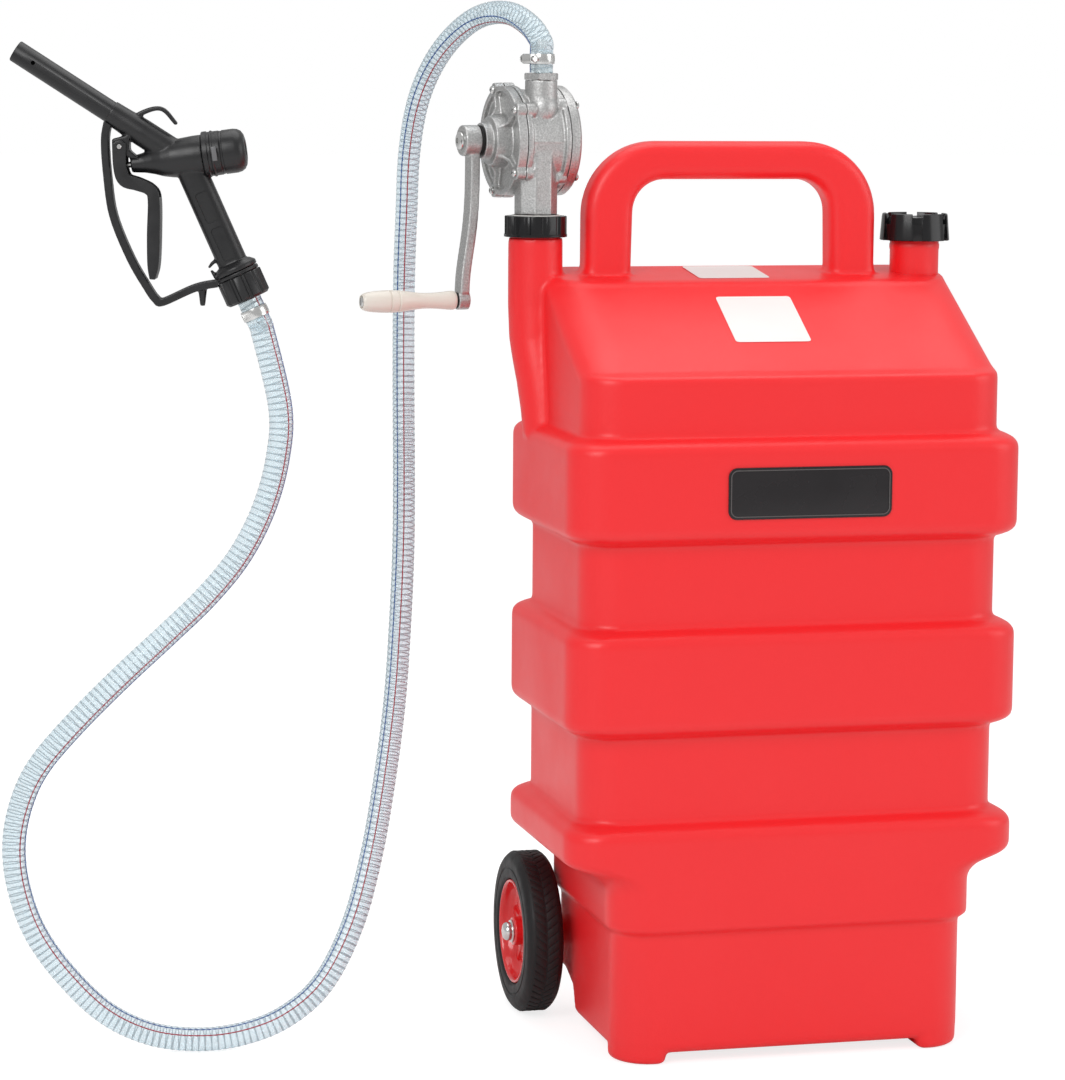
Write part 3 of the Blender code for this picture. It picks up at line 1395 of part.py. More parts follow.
def build_trigger(pivot):
    """The trigger lever with two cheeks about the ear, and its pin."""
    pivot_x, pivot_z = trigger_pivot
    path = [(x - pivot_x, z - pivot_z) for x, z in trigger_points]
    widths = [share * trigger_thickness for share in trigger_thickness_shares]
    lever = plate("trigger", strip(path, widths), trigger_width)
    settle(lever, nozzle_plastic, pivot, (0, 0, 0), (radians(90), 0, 0))
    lobe = cylinder("trigger_lobe", trigger_thickness * trigger_lobe_share, -trigger_width / 2,
                    trigger_width / 2, round_medium)
    join(lever, carried(lobe, pivot, (0, 0, 0), (radians(90), 0, 0)))
    inner = trigger_width - 2 * trigger_cheek
    channel_path = shifted(path[:trigger_channel_points], trigger_back_wall)
    channel = plate("trigger_channel", strip(channel_path, widths[:trigger_channel_points]), inner)
    cut(lever, carried(channel, pivot, (0, 0, 0), (radians(90), 0, 0)))
    slot_foot = trigger_open_low - pivot_z
    tall = 2 * trigger_thickness - slot_foot
    slot = block("trigger_slot", (4 * trigger_thickness, inner, tall), (0, 0, slot_foot + tall / 2))
    cut(lever, carried(slot, pivot))
    hole = cylinder("trigger_hole", pin_radius + seat_gap, -trigger_width, trigger_width, round_small)
    cut(lever, carried(hole, pivot, (0, 0, 0), (radians(90), 0, 0)))
    pin = cylinder("trigger_pin", pin_radius, -trigger_width / 2, trigger_width / 2, round_small)
    return pin


def build_guard(frame, grip):
    """The hand guard, whose rear ring is held between the grip and the inlet nut."""
    guard = plate("nozzle_guard", strip(guard_points, [guard_thickness] * len(guard_points)), guard_width)
    settle(guard, nozzle_plastic, frame, (0, 0, 0), (radians(90), 0, 0))
    ring_top = handgrip_length + seat_gap
    ring = cylinder("guard_ring", inlet_flange_radius, ring_top, ring_top + guard_ring_thickness,
                    round_large)
    join(guard, carried(ring, grip))
    peg = cylinder("guard_peg", peg_tip_radius, -peg_length, 0, round_peg, peg_root_radius)
    join(guard, carried(peg, frame, (peg_place[0], 0, peg_place[1]), (0, 0, 0)))
    space = cylinder("grip_space", inlet_flange_radius + seat_gap, ring_top - 2 * handgrip_width, ring_top,
                     round_large)
    cut(guard, carried(space, grip))
    ring_foot = ring_top + guard_ring_thickness
    nut_space = cylinder("nut_space", inlet_nut_radius + 2 * seat_gap, ring_foot,
                         ring_foot + handgrip_width, round_large)
    cut(guard, carried(nut_space, grip))
    bore = cylinder("guard_bore", grip_bore, ring_top - overrun, ring_foot + 2 * overrun, round_small)
    cut(guard, carried(bore, grip))
    sleeve = cylinder("sleeve_space", sleeve_radius + seat_gap, -2 * sleeve_length, sleeve_length,
                      round_medium)
    return guard, sleeve


def build_inlet(grip):
    """The ribbed inlet nut and the barb that it holds."""
    seat = handgrip_length + seat_gap + guard_ring_thickness + seat_gap
    end = seat + inlet_nut_length
    outline = ribbed_outline(inlet_nut_radius, inlet_nut_rib_depth, inlet_nut_ribs)
    nut = plate("inlet_nut", outline, inlet_nut_length)
    settle(nut, nozzle_plastic, grip, (0, 0, (seat + end) / 2))
    flange = inlet_flange_radius * barb_flange_share
    flange_end = seat + seat_gap + inlet_flange_thickness
    pocket = cylinder("inlet_nut_pocket", flange + seat_gap, seat - overrun, flange_end + seat_gap,
                      round_small)
    cut(nut, carried(pocket, grip))
    neck = barb_radius + 2 * seat_gap + overrun
    hole = cylinder("inlet_nut_hole", neck + seat_gap, seat - overrun, end + overrun, round_small)
    cut(nut, carried(hole, grip))
    face = end + seat_gap
    tip = face + barb_length
    profile = [(fitting_bore, tip), (barb_radius - barb_step, tip), (barb_radius, tip - barb_length / 4),
               (barb_radius - barb_step, tip - barb_length / 2), (barb_radius, face + barb_step),
               (neck, face - seat_gap), (neck, flange_end), (flange, flange_end), (flange, seat + seat_gap),
               (fitting_bore, seat + seat_gap)]
    settle(turned("inlet_barb", profile, round_small, True), bright_steel, grip)
    return face


def build_wheel(side, sign):
    """One wheel: tyre, pressed rim with its long hub, and axle nut."""
    middle = sign * (wheel_outer_x - wheel_width / 2)
    frame = frame_empty("%s_wheel_frame" % side, None, (middle, wheel_y, wheel_radius),
                        (0, radians(90 * sign), 0))
    half = wheel_width / 2
    full = wheel_radius
    bead = tyre_inner + seat_gap
    crown = half - tyre_crown * tyre_crown_share
    profile = [(bead, half - rim_flange), (full - tyre_shoulder, half), (full - tyre_crown, crown),
               (full, half - tyre_shoulder), (full, -half + tyre_shoulder), (full - tyre_crown, -crown),
               (full - tyre_shoulder, -half), (bead, -half + rim_flange)]
    settle(turned("%s_tyre" % side, profile, wheel_sides, True), tyre_rubber, frame)
    hub_foot = lower_width / 2 + 2 * seat_gap - (wheel_outer_x - half)
    lip = tyre_inner
    inner = tyre_inner - web_thickness
    thick = web_thickness
    rim_edge = half - rim_flange * rim_edge_share
    bend = half * rim_bend_share
    outline = [(hub_radius, hub_half), (hub_radius, thick), (dish_radius, thick / 2), (inner, bend),
               (inner, rim_edge), (lip, rim_edge), (lip, -rim_edge), (inner, -rim_edge), (inner, -bend),
               (dish_radius, -3 * thick / 2), (hub_radius, -thick), (hub_radius, hub_foot),
               (axle_radius + seat_gap, hub_foot), (axle_radius + seat_gap, hub_half)]
    rim = settle(turned("%s_rim" % side, outline, wheel_sides, True), red_paint, frame)
    for number in range(spoke_count):
        length = inner - hub_radius + overrun
        angle = 2 * pi * number / spoke_count
        spoke = block("%s_spoke_%d" % (side, number + 1), (length, spoke_width, thick * spoke_depth_share),
                      (hub_radius + length / 2 - overrun / 2, 0, thick * spoke_rise_share))
        join(rim, carried(spoke, frame, (0, 0, 0), (0, 0, angle)))
    nut_seat = hub_half + seat_gap
    depth = nut_seat + axle_nut_thickness
    dome = [(axle_nut_radius * out, depth + axle_nut_dome * up) for out, up in axle_nut_shares]
    dome += [(axle_nut_radius, nut_seat), (axle_radius + seat_gap, nut_seat),
             (axle_radius + seat_gap, depth),
             (0, depth)]
    settle(turned("%s_axle_nut" % side, dome, round_small), bright_steel, frame)
    return depth


def build_axle(nut_depth):
    """The steel axle through the tank's tunnel and both wheels."""
    reach = wheel_outer_x - wheel_width / 2 + nut_depth - seat_gap
    axle = cylinder("axle", axle_radius, -reach, reach, round_medium)
    settle(axle, bright_steel, None, (0, wheel_y, wheel_radius), (0, radians(90), 0))


def build_plates():
    """The blank badge plate on the upper rib and two blank stickers."""
    badge = plate("badge_plate", rounded_outline(badge_width, badge_height, badge_corner, 4),
                  badge_thickness)
    front = -tank_depth / 2 - badge_thickness / 2 - seat_gap
    settle(badge, badge_black, None, (badge_offset, front, badge_height_above_floor), (radians(90), 0, 0))
    waist_front = tank_depth / 2 - rib_proud
    run = deck_front + waist_front
    rise = deck_height - slope_foot_height
    slope = atan2(rise, run)
    wide, long = slope_sticker_size
    sticker = plate("slope_sticker", rounded_outline(wide, long, sticker_corner, 2), sticker_thickness)
    off = sticker_thickness / 2 + seat_gap
    middle_y = -waist_front + run * slope_sticker_share
    middle_z = slope_foot_height + rise * slope_sticker_share
    settle(sticker, sticker_white, None,
           (slope_sticker_x, middle_y - off * sin(slope), middle_z + off * cos(slope)), (slope, 0, 0))
    wide, long = deck_sticker_size
    flat = plate("deck_sticker", rounded_outline(wide, long, sticker_corner, 2), sticker_thickness)
    deck_start = deck_front + deck_edge / 3
    deck_end = waist_front - deck_edge
    tilt = atan2(deck_rise, deck_end - deck_start)
    middle = (deck_start + deck_end) / 2
    settle(flat, sticker_white, None,
           (deck_sticker_x, middle - off * sin(tilt), deck_height + deck_rise / 2 + off * cos(tilt)),
           (tilt, 0, 0))


def build_caddy():
    """Build every piece, then move the whole so that its box stands centred on the origin."""
    build_tank()
    build_fill_cap()
    pump_frame = frame_empty("pump_frame", None, (pump_neck_x, neck_y, 0), (0, 0, radians(pump_yaw)))
    flange_bottom, flange_top = build_union(pump_frame)
    pump_axis = frame_empty("pump_axis", pump_frame, (0, axis_back, axis_height), (0, radians(-90), 0))
    spots = (ring_spots(lug_count, lug_first_angle, lug_circle),
             ring_spots(back_screw_count, 180 / back_screw_count, back_screw_circle))
    build_pump_body(pump_frame, pump_axis, spots, flange_bottom, flange_top)
    front_face, back_face, nose_top = build_covers(pump_axis, spots)
    build_cover_screws(pump_axis, spots, front_face, back_face)
    build_rotor(pump_axis, nose_top)
    build_crank(pump_axis)
    grip_axis = frame_empty("grip_axis", pump_axis, (-crank_radius, 0, 0))
    build_crank_grip(grip_axis)
    build_suction(pump_frame, flange_bottom)
    hose_seat = build_outlet_fitting(pump_frame)
    outlet_frame = frame_empty("outlet_frame", pump_frame, (outlet_shift, 0, hose_seat))
    build_hose_clamp("pump_hose_clamp", outlet_frame, clamp_stand, radians(200))
    nozzle = frame_empty("nozzle_frame", None, nozzle_place, (0, 0, radians(nozzle_yaw)))
    barrel = tilted_frame("barrel_axis", nozzle, barrel_axis_point, barrel_tilt)
    spout = tilted_frame("spout_axis", nozzle, spout_root, spout_tilt)
    grip = tilted_frame("handgrip_axis", nozzle, handgrip_top, grip_tilt - 90)
    build_nozzle(nozzle, barrel, spout, grip)
    build_spout(spout)
    build_valve(barrel)
    pivot = frame_empty("trigger_pivot", nozzle, (trigger_pivot[0], 0, trigger_pivot[1]))
    pin = build_trigger(pivot)
    settle(pin, bright_steel, pivot, (0, 0, 0), (radians(90), 0, 0))
    guard, sleeve = build_guard(nozzle, grip)
    cut(guard, carried(sleeve, spout))
    face = build_inlet(grip)
    inlet_frame = frame_empty("inlet_frame", grip, (0, 0, face + seat_gap))
    build_hose_clamp("nozzle_hose_clamp", inlet_frame, clamp_stand, radians(90))
    bpy.context.view_layer.update()
    up = Vector((0, 0, 1))
    start = outlet_frame.matrix_world.translation.copy()
    end = inlet_frame.matrix_world.translation.copy()
    end_way = inlet_frame.matrix_world.to_3x3() @ up
    build_hose(start, up, end, end_way)
    nut_depth = build_wheel("left", -1)
    build_wheel("right", 1)
    build_axle(nut_depth)
    build_plates()
    grip_end = arm_last + eye_half + grip_length
    left = pump_neck_x - grip_end * cos(radians(pump_yaw)) - grip_radius * sin(radians(pump_yaw))
    left -= axis_back * sin(radians(pump_yaw))
    right = wheel_outer_x - wheel_width / 2 + nut_depth + axle_nut_dome
    front = -tank_depth / 2 - badge_thickness
    back = wheel_y + wheel_radius
    origin = frame_empty("caddy_frame", None, (-(left + right) / 2, -(front + back) / 2, 0))
    for thing in list(bpy.data.objects):
        if thing.parent is None and thing != origin:
            thing.parent = origin
    bpy.context.view_layer.update()


build_caddy()
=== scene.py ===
# Looks of the fuel caddy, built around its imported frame. Lengths are in metres.
# Angles are in degrees, but where a ring or a winding starts and how copies are turned is in radians.

from math import atan2, cos, hypot, pi, radians, sin

import bmesh
import bpy
from mathutils import Matrix, Vector


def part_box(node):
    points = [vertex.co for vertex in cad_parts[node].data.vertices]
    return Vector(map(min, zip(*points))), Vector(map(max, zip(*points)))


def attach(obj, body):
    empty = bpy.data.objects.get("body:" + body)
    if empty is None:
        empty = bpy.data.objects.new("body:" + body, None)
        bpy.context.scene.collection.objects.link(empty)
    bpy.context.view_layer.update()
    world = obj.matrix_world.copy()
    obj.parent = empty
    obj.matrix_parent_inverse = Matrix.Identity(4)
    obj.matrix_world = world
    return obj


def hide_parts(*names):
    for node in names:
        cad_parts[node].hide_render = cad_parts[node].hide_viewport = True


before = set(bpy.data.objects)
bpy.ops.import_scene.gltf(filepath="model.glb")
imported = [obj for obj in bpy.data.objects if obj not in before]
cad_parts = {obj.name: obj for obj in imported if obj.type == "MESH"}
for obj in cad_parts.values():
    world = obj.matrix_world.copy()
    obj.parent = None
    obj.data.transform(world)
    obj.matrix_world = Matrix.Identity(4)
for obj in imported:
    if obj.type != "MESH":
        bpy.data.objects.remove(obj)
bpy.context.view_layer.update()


# Frames that carry the pieces, as the part has them
def moved(x=0.0, y=0.0, z=0.0):
    return Matrix.Translation((x, y, z))


def turned_about(axis, angle):
    return Matrix.Rotation(radians(angle), 4, axis)


def in_nozzle_plane(x, z, tilt):
    """A frame in the nozzle's plane, whose Z axis is tilted from level."""
    return nozzle_frame @ moved(x, 0, z) @ turned_about("Y", 90 - tilt)


tank_low, tank_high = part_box("tank_shell")
tank_width = 0.422
tank_depth = 0.262
fill_neck_x = 0.171
pump_neck_x = -0.197
neck_y = 0.075
neck_top = 0.742
axis_height = 0.8195
crank_radius = 0.146
pump_turn = 8.4
outlet_shift = 0.0045
outlet_seat = 0.8818
wheel_outer_x = 0.211
wheel_width = 0.0355
wheel_y = 0.0985
wheel_radius = 0.076
camera_yaw, camera_pitch, camera_roll = 14.13, 7.38, 0.44
trigger_x, trigger_z = -0.106, 0.1245
origin = Matrix()
lying = turned_about("X", 90)
tank_frame = moved(tank_high.x - tank_width / 2, tank_low.y + tank_depth / 2)
cap_frame = tank_frame @ moved(fill_neck_x, neck_y)
pump_frame = tank_frame @ moved(pump_neck_x, neck_y) @ turned_about("Z", pump_turn)
pump_axis = pump_frame @ moved(0, 0.028, axis_height) @ turned_about("Y", -90)
crank_grip_axis = pump_axis @ moved(-crank_radius)
outlet_frame = pump_frame @ moved(outlet_shift, 0, outlet_seat)
nozzle_frame = tank_frame @ moved(-0.4838, -0.008, 0.6912) @ turned_about("Z", -camera_yaw)
barrel_axis = in_nozzle_plane(-0.0966, 0.1087, 8)
spout_axis = in_nozzle_plane(-0.0706, 0.1263, -32.5)
hand_grip_axis = in_nozzle_plane(-0.0418, 0.0995, -66)
inlet_frame = hand_grip_axis @ moved(0, 0, 0.1187)
trigger_pivot = nozzle_frame @ moved(trigger_x, 0, trigger_z)
wheel_frames = {
    side: tank_frame @ moved(sign * (wheel_outer_x - wheel_width / 2), wheel_y, wheel_radius)
    @ turned_about("Y", 90 * sign)
    for side, sign in (("left", -1), ("right", 1))
}

# Camera at the photograph's viewpoint
camera_data = bpy.data.cameras.new("camera")
camera = bpy.data.objects.new("camera", camera_data)
bpy.context.scene.collection.objects.link(camera)
bpy.context.scene.camera = camera
camera_data.sensor_width = 36
camera_data.lens = 124.41
camera_data.clip_end = 60
camera.matrix_world = (
    tank_frame @ moved(-1.0358, -3.2545, 0.8963) @ turned_about("Z", -camera_yaw)
    @ turned_about("X", 90 - camera_pitch) @ turned_about("Z", camera_roll)
)


# Node building blocks
def add_node(tree, kind, inputs=None, **settings):
    """A node with its settings. Each input takes a value, or the socket that feeds it."""
    node = tree.nodes.new(kind)
    for label, value in settings.items():
        setattr(node, label, value)
    for label, value in (inputs or {}).items():
        if isinstance(value, bpy.types.NodeSocket):
            tree.links.new(value, node.inputs[label])
        else:
            node.inputs[label].default_value = value
    return node


def new_group(name, kind, inputs, outputs):
    """A node group with named sockets: the group, what it is given and its result node."""
    group = bpy.data.node_groups.new(name, kind + "NodeTree")
    for direction, sockets in (("INPUT", inputs), ("OUTPUT", outputs)):
        for label, socket in sockets.items():
            group.interface.new_socket(name=label, in_out=direction, socket_type="NodeSocket" + socket)
    return group, group.nodes.new("NodeGroupInput").outputs, group.nodes.new("NodeGroupOutput")


def maths(tree, operation, *values):
    return add_node(tree, "ShaderNodeMath", dict(enumerate(values)), operation=operation).outputs[0]


def vector_maths(tree, operation, first, second):
    other = "Scale" if operation == "SCALE" else 1
    return add_node(tree, "ShaderNodeVectorMath", {0: first, other: second}, operation=operation).outputs[0]


# Finishes
def grain_group():
    """Mottled colour, uneven gloss and a fine bump, for moulded, cast and painted surfaces."""
    group, given, result = new_group("surface_grain", "Shader", {
        "Colour": "Color", "Mottle Colour": "Color", "Mottle Scale": "Float", "Mottle Amount": "Float",
        "Gloss Low": "Float", "Gloss High": "Float", "Grain Scale": "Float", "Grain Height": "Float",
        "Stretch": "Vector"}, {"Colour": "Color", "Roughness": "Float", "Normal": "Vector"})
    place = add_node(group, "ShaderNodeTexCoord").outputs["Object"]
    spot = vector_maths(group, "MULTIPLY", place, given["Stretch"])
    broad, fine = (add_node(group, "ShaderNodeTexNoise", {
        "Vector": spot, "Scale": given[scale], "Detail": detail, "Roughness": rough}).outputs["Fac"]
        for scale, detail, rough in (("Mottle Scale", 4.0, 0.6), ("Grain Scale", 3.0, 0.7)))
    colour = add_node(group, "ShaderNodeMix", {
        "Factor": maths(group, "MULTIPLY", broad, given["Mottle Amount"]), "A": given["Colour"],
        "B": given["Mottle Colour"]}, data_type="RGBA").outputs["Result"]
    gloss = add_node(group, "ShaderNodeMapRange", {
        "Value": broad, "From Min": 0.3, "From Max": 0.7, "To Min": given["Gloss Low"],
        "To Max": given["Gloss High"]}).outputs[0]
    bump = add_node(group, "ShaderNodeBump", {
        "Height": fine, "Strength": given["Grain Height"], "Distance": 0.0004}).outputs[0]
    for label, socket in (("Colour", colour), ("Roughness", gloss), ("Normal", bump)):
        group.links.new(socket, result.inputs[label])
    return group


surface_grain = grain_group()
finishes, finish_slots, slot_finishes = {}, {}, {}


def add_finish(name, slot, colour, mottle_colour, texture, stretch=(1, 1, 1), **more):
    """A Principled finish for a slot, fed by the grain group.

    Its texture is the mottle's scale and amount, the gloss range, and the grain's scale and height.
    """
    made = bpy.data.materials.new(name)
    made.use_nodes = True
    made.diffuse_color = (*colour, 1)
    tree = made.node_tree
    node = tree.nodes.new("ShaderNodeGroup")
    node.node_tree = surface_grain
    for socket, value in zip(node.inputs, ((*colour, 1), (*mottle_colour, 1), *texture, stretch)):
        socket.default_value = value
    shader = tree.nodes["Principled BSDF"]
    for label, value in more.items():
        shader.inputs[label.replace("_", " ").title().replace("Ior", "IOR")].default_value = value
    for label, socket in (("Colour", "Base Color"), ("Roughness", "Roughness"), ("Normal", "Normal")):
        tree.links.new(node.outputs[label], shader.inputs[socket])
    finishes[name] = made
    finish_slots[name] = slot
    slot_finishes.setdefault(slot, made)


add_finish("tank_red", "red_plastic", (0.9, 0.02, 0.024), (0.84, 0.014, 0.02), (9, 0.5, 0.3, 0.42, 620, 0.42))
add_finish("gloss_black", "black_plastic", (0.005, 0.005, 0.006), (0.01, 0.01, 0.011),
           (40, 0.5, 0.14, 0.24, 900, 0.05), specular_ior_level=0.4)
add_finish("matt_black", "nozzle_plastic", (0.006, 0.006, 0.007), (0.013, 0.013, 0.014),
           (70, 0.6, 0.3, 0.42, 900, 0.2), specular_ior_level=0.52)
add_finish("cast_aluminium", "cast_metal", (0.82, 0.82, 0.81), (0.2, 0.2, 0.2), (640, 1.0, 0.28, 0.56, 620, 1.0),
           metallic=1.0)
add_finish("zinc_steel", "bright_steel", (0.78, 0.78, 0.77), (0.56, 0.56, 0.55), (160, 0.7, 0.14, 0.26, 1200, 0.06),
           metallic=1.0)
add_finish("tread_rubber", "tyre_rubber", (0.006, 0.006, 0.007), (0.014, 0.012, 0.012),
           (90, 0.7, 0.44, 0.62, 900, 0.25), specular_ior_level=0.35)
add_finish("seal_black", "seal_rubber", (0.006, 0.006, 0.006), (0.014, 0.014, 0.014),
           (80, 0.5, 0.5, 0.66, 1500, 0.12), specular_ior_level=0.35)
add_finish("rim_enamel", "red_paint", (0.72, 0.012, 0.014), (0.62, 0.008, 0.012), (30, 0.5, 0.16, 0.26, 500, 0.03),
           coat_weight=0.6, coat_roughness=0.08)
add_finish("grip_cream", "cream_wood", (0.8, 0.755, 0.69), (0.68, 0.61, 0.52), (70, 0.7, 0.28, 0.4, 500, 0.08),
           stretch=(0.25, 1, 1), coat_weight=0.3, coat_roughness=0.18)
add_finish("nylon_white", "white_nylon", (0.78, 0.77, 0.74), (0.7, 0.69, 0.66), (60, 0.5, 0.34, 0.46, 900, 0.06))
add_finish("tab_grey", "white_nylon", (0.15, 0.15, 0.155), (0.1, 0.1, 0.105), (80, 0.5, 0.3, 0.42, 900, 0.08))
add_finish("badge_gloss", "badge_black", (0.012, 0.01, 0.011), (0.022, 0.018, 0.02),
           (25, 0.5, 0.22, 0.32, 700, 0.03), specular_ior_level=0.4)
add_finish("badge_edge", "badge_black", (0.1, 0.09, 0.09), (0.07, 0.06, 0.06), (60, 0.5, 0.24, 0.34, 700, 0.05))
add_finish("label_film", "sticker_white", (0.88, 0.87, 0.85), (0.8, 0.79, 0.77), (30, 0.5, 0.3, 0.42, 700, 0.03))
add_finish("carbon_grey", "carbon_vane", (0.1, 0.1, 0.1), (0.14, 0.14, 0.14), (90, 0.5, 0.4, 0.55, 900, 0.1))
add_finish("clear_vinyl", "clear_hose", (0.83, 0.93, 0.97), (0.73, 0.87, 0.94), (22, 0.6, 0.12, 0.22, 400, 0.03),
           transmission_weight=0.58, ior=1.04, coat_weight=0.6, coat_roughness=0.12)
add_finish("helix_steel", "clear_hose", (0.17, 0.25, 0.3), (0.1, 0.16, 0.2), (90, 0.6, 0.3, 0.42, 900, 0.04),
           metallic=0.3)
add_finish("tracer_red", "clear_hose", (0.36, 0.02, 0.04), (0.28, 0.015, 0.03), (60, 0.4, 0.3, 0.4, 600, 0.02))
add_finish("tracer_blue", "clear_hose", (0.02, 0.09, 0.3), (0.015, 0.06, 0.24), (60, 0.4, 0.3, 0.4, 600, 0.02))


# Outlines
def arc(centre_x, centre_y, radius, start, sweep, steps):
    """Points on an arc, from its start angle through its sweep."""
    angles = [radians(start + sweep * step / steps) for step in range(steps + 1)]
    return [(centre_x + radius * cos(angle), centre_y + radius * sin(angle)) for angle in angles]


def circle(radius, count, start=0.0):
    angles = [start + 2 * pi * step / count for step in range(count)]
    return [(radius * cos(angle), radius * sin(angle)) for angle in angles]


def polygon(across, sides, start=0.0):
    """A regular outline of a given width across its flats."""
    return circle(across / 2 / cos(pi / sides), sides, start)


def rounded_box(half_width, front, back, corner, steps):
    """A rounded rectangle that is centred in X."""
    side = half_width - corner
    corners = ((side, back - corner), (-side, back - corner), (-side, front + corner), (side, front + corner))
    return [spot for number, (x, y) in enumerate(corners) for spot in arc(x, y, corner, 90 * number, 90, steps)]


def rounded_outline(width, height, corner, steps):
    return rounded_box(width / 2, -height / 2, height / 2, corner, steps)


def strip(path, widths):
    """The outline of a band of given widths along a plane path."""
    left, right = [], []
    for number, ((x, y), width) in enumerate(zip(path, widths)):
        before, after = path[max(number - 1, 0)], path[min(number + 1, len(path) - 1)]
        run = hypot(after[0] - before[0], after[1] - before[1])
        across_x = -(after[1] - before[1]) / run * width / 2
        across_y = (after[0] - before[0]) / run * width / 2
        left.append((x + across_x, y + across_y))
        right.append((x - across_x, y - across_y))
    return left + right[::-1]


def ribbed_outline(radius, depth, ribs):
    """A round outline with ribs for a hand nut."""
    levels = ((0.0, 1), (0.6, 1), (0.7, 0), (0.9, 0))
    turns = [(2 * pi * (number + share) / ribs, radius - depth * (1 - level))
             for number in range(ribs) for share, level in levels]
    return [(reach * cos(angle), reach * sin(angle)) for angle, reach in turns]


# Paths
def smooth_path(points, pieces):
    """Points on a Catmull-Rom curve through the given points."""
    spots = [Vector(point) for point in points]
    padded = [2 * spots[0] - spots[1]] + spots + [2 * spots[-1] - spots[-2]]
    found = []
    for number in range(1, len(padded) - 2):
        a, b, c, d = padded[number - 1:number + 3]
        for piece in range(pieces):
            t = piece / pieces
            found.append(0.5 * (2 * b + (c - a) * t + (2 * a - 5 * b + 4 * c - d) * t * t
                                + (3 * b - a - 3 * c + d) * t * t * t))
    return found + [spots[-1]]


def smooth_line(points, pieces):
    """The same curve in a plane."""
    return [(spot.x, spot.y) for spot in smooth_path([(x, y, 0) for x, y in points], pieces)]


def even_path(points, count):
    """The same path with points at equal steps."""
    reach = [0]
    for first, second in zip(points, points[1:]):
        reach.append(reach[-1] + (second - first).length)
    found = []
    number = 0
    for step in range(count):
        goal = reach[-1] * step / (count - 1)
        while number < len(points) - 2 and reach[number + 1] < goal:
            number += 1
        span = reach[number + 1] - reach[number]
        found.append(points[number].lerp(points[number + 1], (goal - reach[number]) / span))
    return found


# Mesh building blocks
def new_object(name, data):
    made = bpy.data.objects.new(name, data)
    bpy.context.scene.collection.objects.link(made)
    return made


def discard(*things):
    for thing in things:
        bpy.data.objects.remove(thing, do_unlink=True)


def placed(thing, place):
    """Move a piece from its own frame to its place, in its mesh."""
    thing.data.transform(place)
    thing.data.update()
    return thing


def tidy_mesh(data, turned=False):
    """Close seams, drop the flat faces of a turned mesh and point the faces outwards."""
    shape = bmesh.new()
    shape.from_mesh(data)
    bmesh.ops.remove_doubles(shape, verts=shape.verts, dist=0.000002)
    if turned:
        bmesh.ops.dissolve_degenerate(shape, dist=0.000001, edges=shape.edges)
    bmesh.ops.recalc_face_normals(shape, faces=shape.faces)
    shape.to_mesh(data)
    shape.free()
    data.update()


def solid(name, points, faces, place=origin, turned=False):
    """A mesh object from points and faces, put in place in its mesh."""
    data = bpy.data.meshes.new(name)
    data.from_pydata([tuple(point) for point in points], [], faces)
    data.transform(place)
    tidy_mesh(data, turned)
    return new_object(name, data)


def lathe(name, profile, place=origin, sides=96, ring=False):
    """A turned solid about the frame's Z axis, from (radius, height) points. A ring's profile closes on itself."""
    rows = len(profile)
    angles = [2 * pi * step / sides for step in range(sides)]
    points = [(radius * cos(angle), radius * sin(angle), height) for angle in angles for radius, height in profile]
    faces = []
    for step in range(sides):
        here, there = step * rows, (step + 1) % sides * rows
        for row in range(rows if ring else rows - 1):
            after = (row + 1) % rows
            faces.append((here + row, there + row, there + after, here + after))
    return placed(solid(name, points, faces, turned=True), place)


def drum(name, radius, low, high, place=origin, sides=48, top=None):
    over = radius if top is None else top
    return lathe(name, [(0, high), (over, high), (radius, low), (0, low)], place, sides)


def skin(name, rings, place=origin):
    """A closed skin through rings of equal counts."""
    count = len(rings[0])
    points = [point for ring in rings for point in ring]
    faces = [(level + number, level + (number + 1) % count, level + count + (number + 1) % count,
              level + count + number)
             for level in range(0, len(points) - count, count) for number in range(count)]
    faces.append(tuple(range(count - 1, -1, -1)))
    faces.append(tuple(range(len(points) - count, len(points))))
    return solid(name, points, faces, place)


def prism(name, outline, thickness, place=origin):
    """A flat outline in the frame's X and Y, given thickness along its Z, half to each side."""
    low = -thickness / 2
    count = len(outline)
    points = [(x, y, height) for height in (low, low + thickness) for x, y in outline]
    faces = [tuple(range(count - 1, -1, -1)), tuple(range(count, 2 * count))]
    faces += [(i, (i + 1) % count, count + (i + 1) % count, count + i) for i in range(count)]
    return solid(name, points, faces, place)


def brick(name, size, place=origin):
    half_x, half_y = size[0] / 2, size[1] / 2
    return prism(name, [(half_x, half_y), (-half_x, half_y), (-half_x, -half_y), (half_x, -half_y)], size[2], place)


def ball(name, radii, centre, place=origin):
    """An ellipsoid, as a closed skin of rings."""
    rings = []
    for row in range(1, 16):
        angle = pi * row / 16
        rings.append([(centre[0] + radii[0] * sin(angle) * x, centre[1] + radii[1] * sin(angle) * y,
                       centre[2] - radii[2] * cos(angle)) for x, y in circle(1, 32)])
    return skin(name, rings, place)


def settled_mesh(thing):
    """The mesh that an object's modifiers or node trees make."""
    bpy.context.view_layer.update()
    graph = bpy.context.evaluated_depsgraph_get()
    return bpy.data.meshes.new_from_object(thing.evaluated_get(graph))


def shaped(thing, *steps):
    """Run modifiers on a piece, each given as its kind and its settings, and keep their result."""
    for kind, settings in steps:
        step = thing.modifiers.new(kind.lower(), kind)
        for label, value in settings.items():
            setattr(step, label, value)
    data = settled_mesh(thing)
    thing.modifiers.clear()
    thing.data = data
    return thing


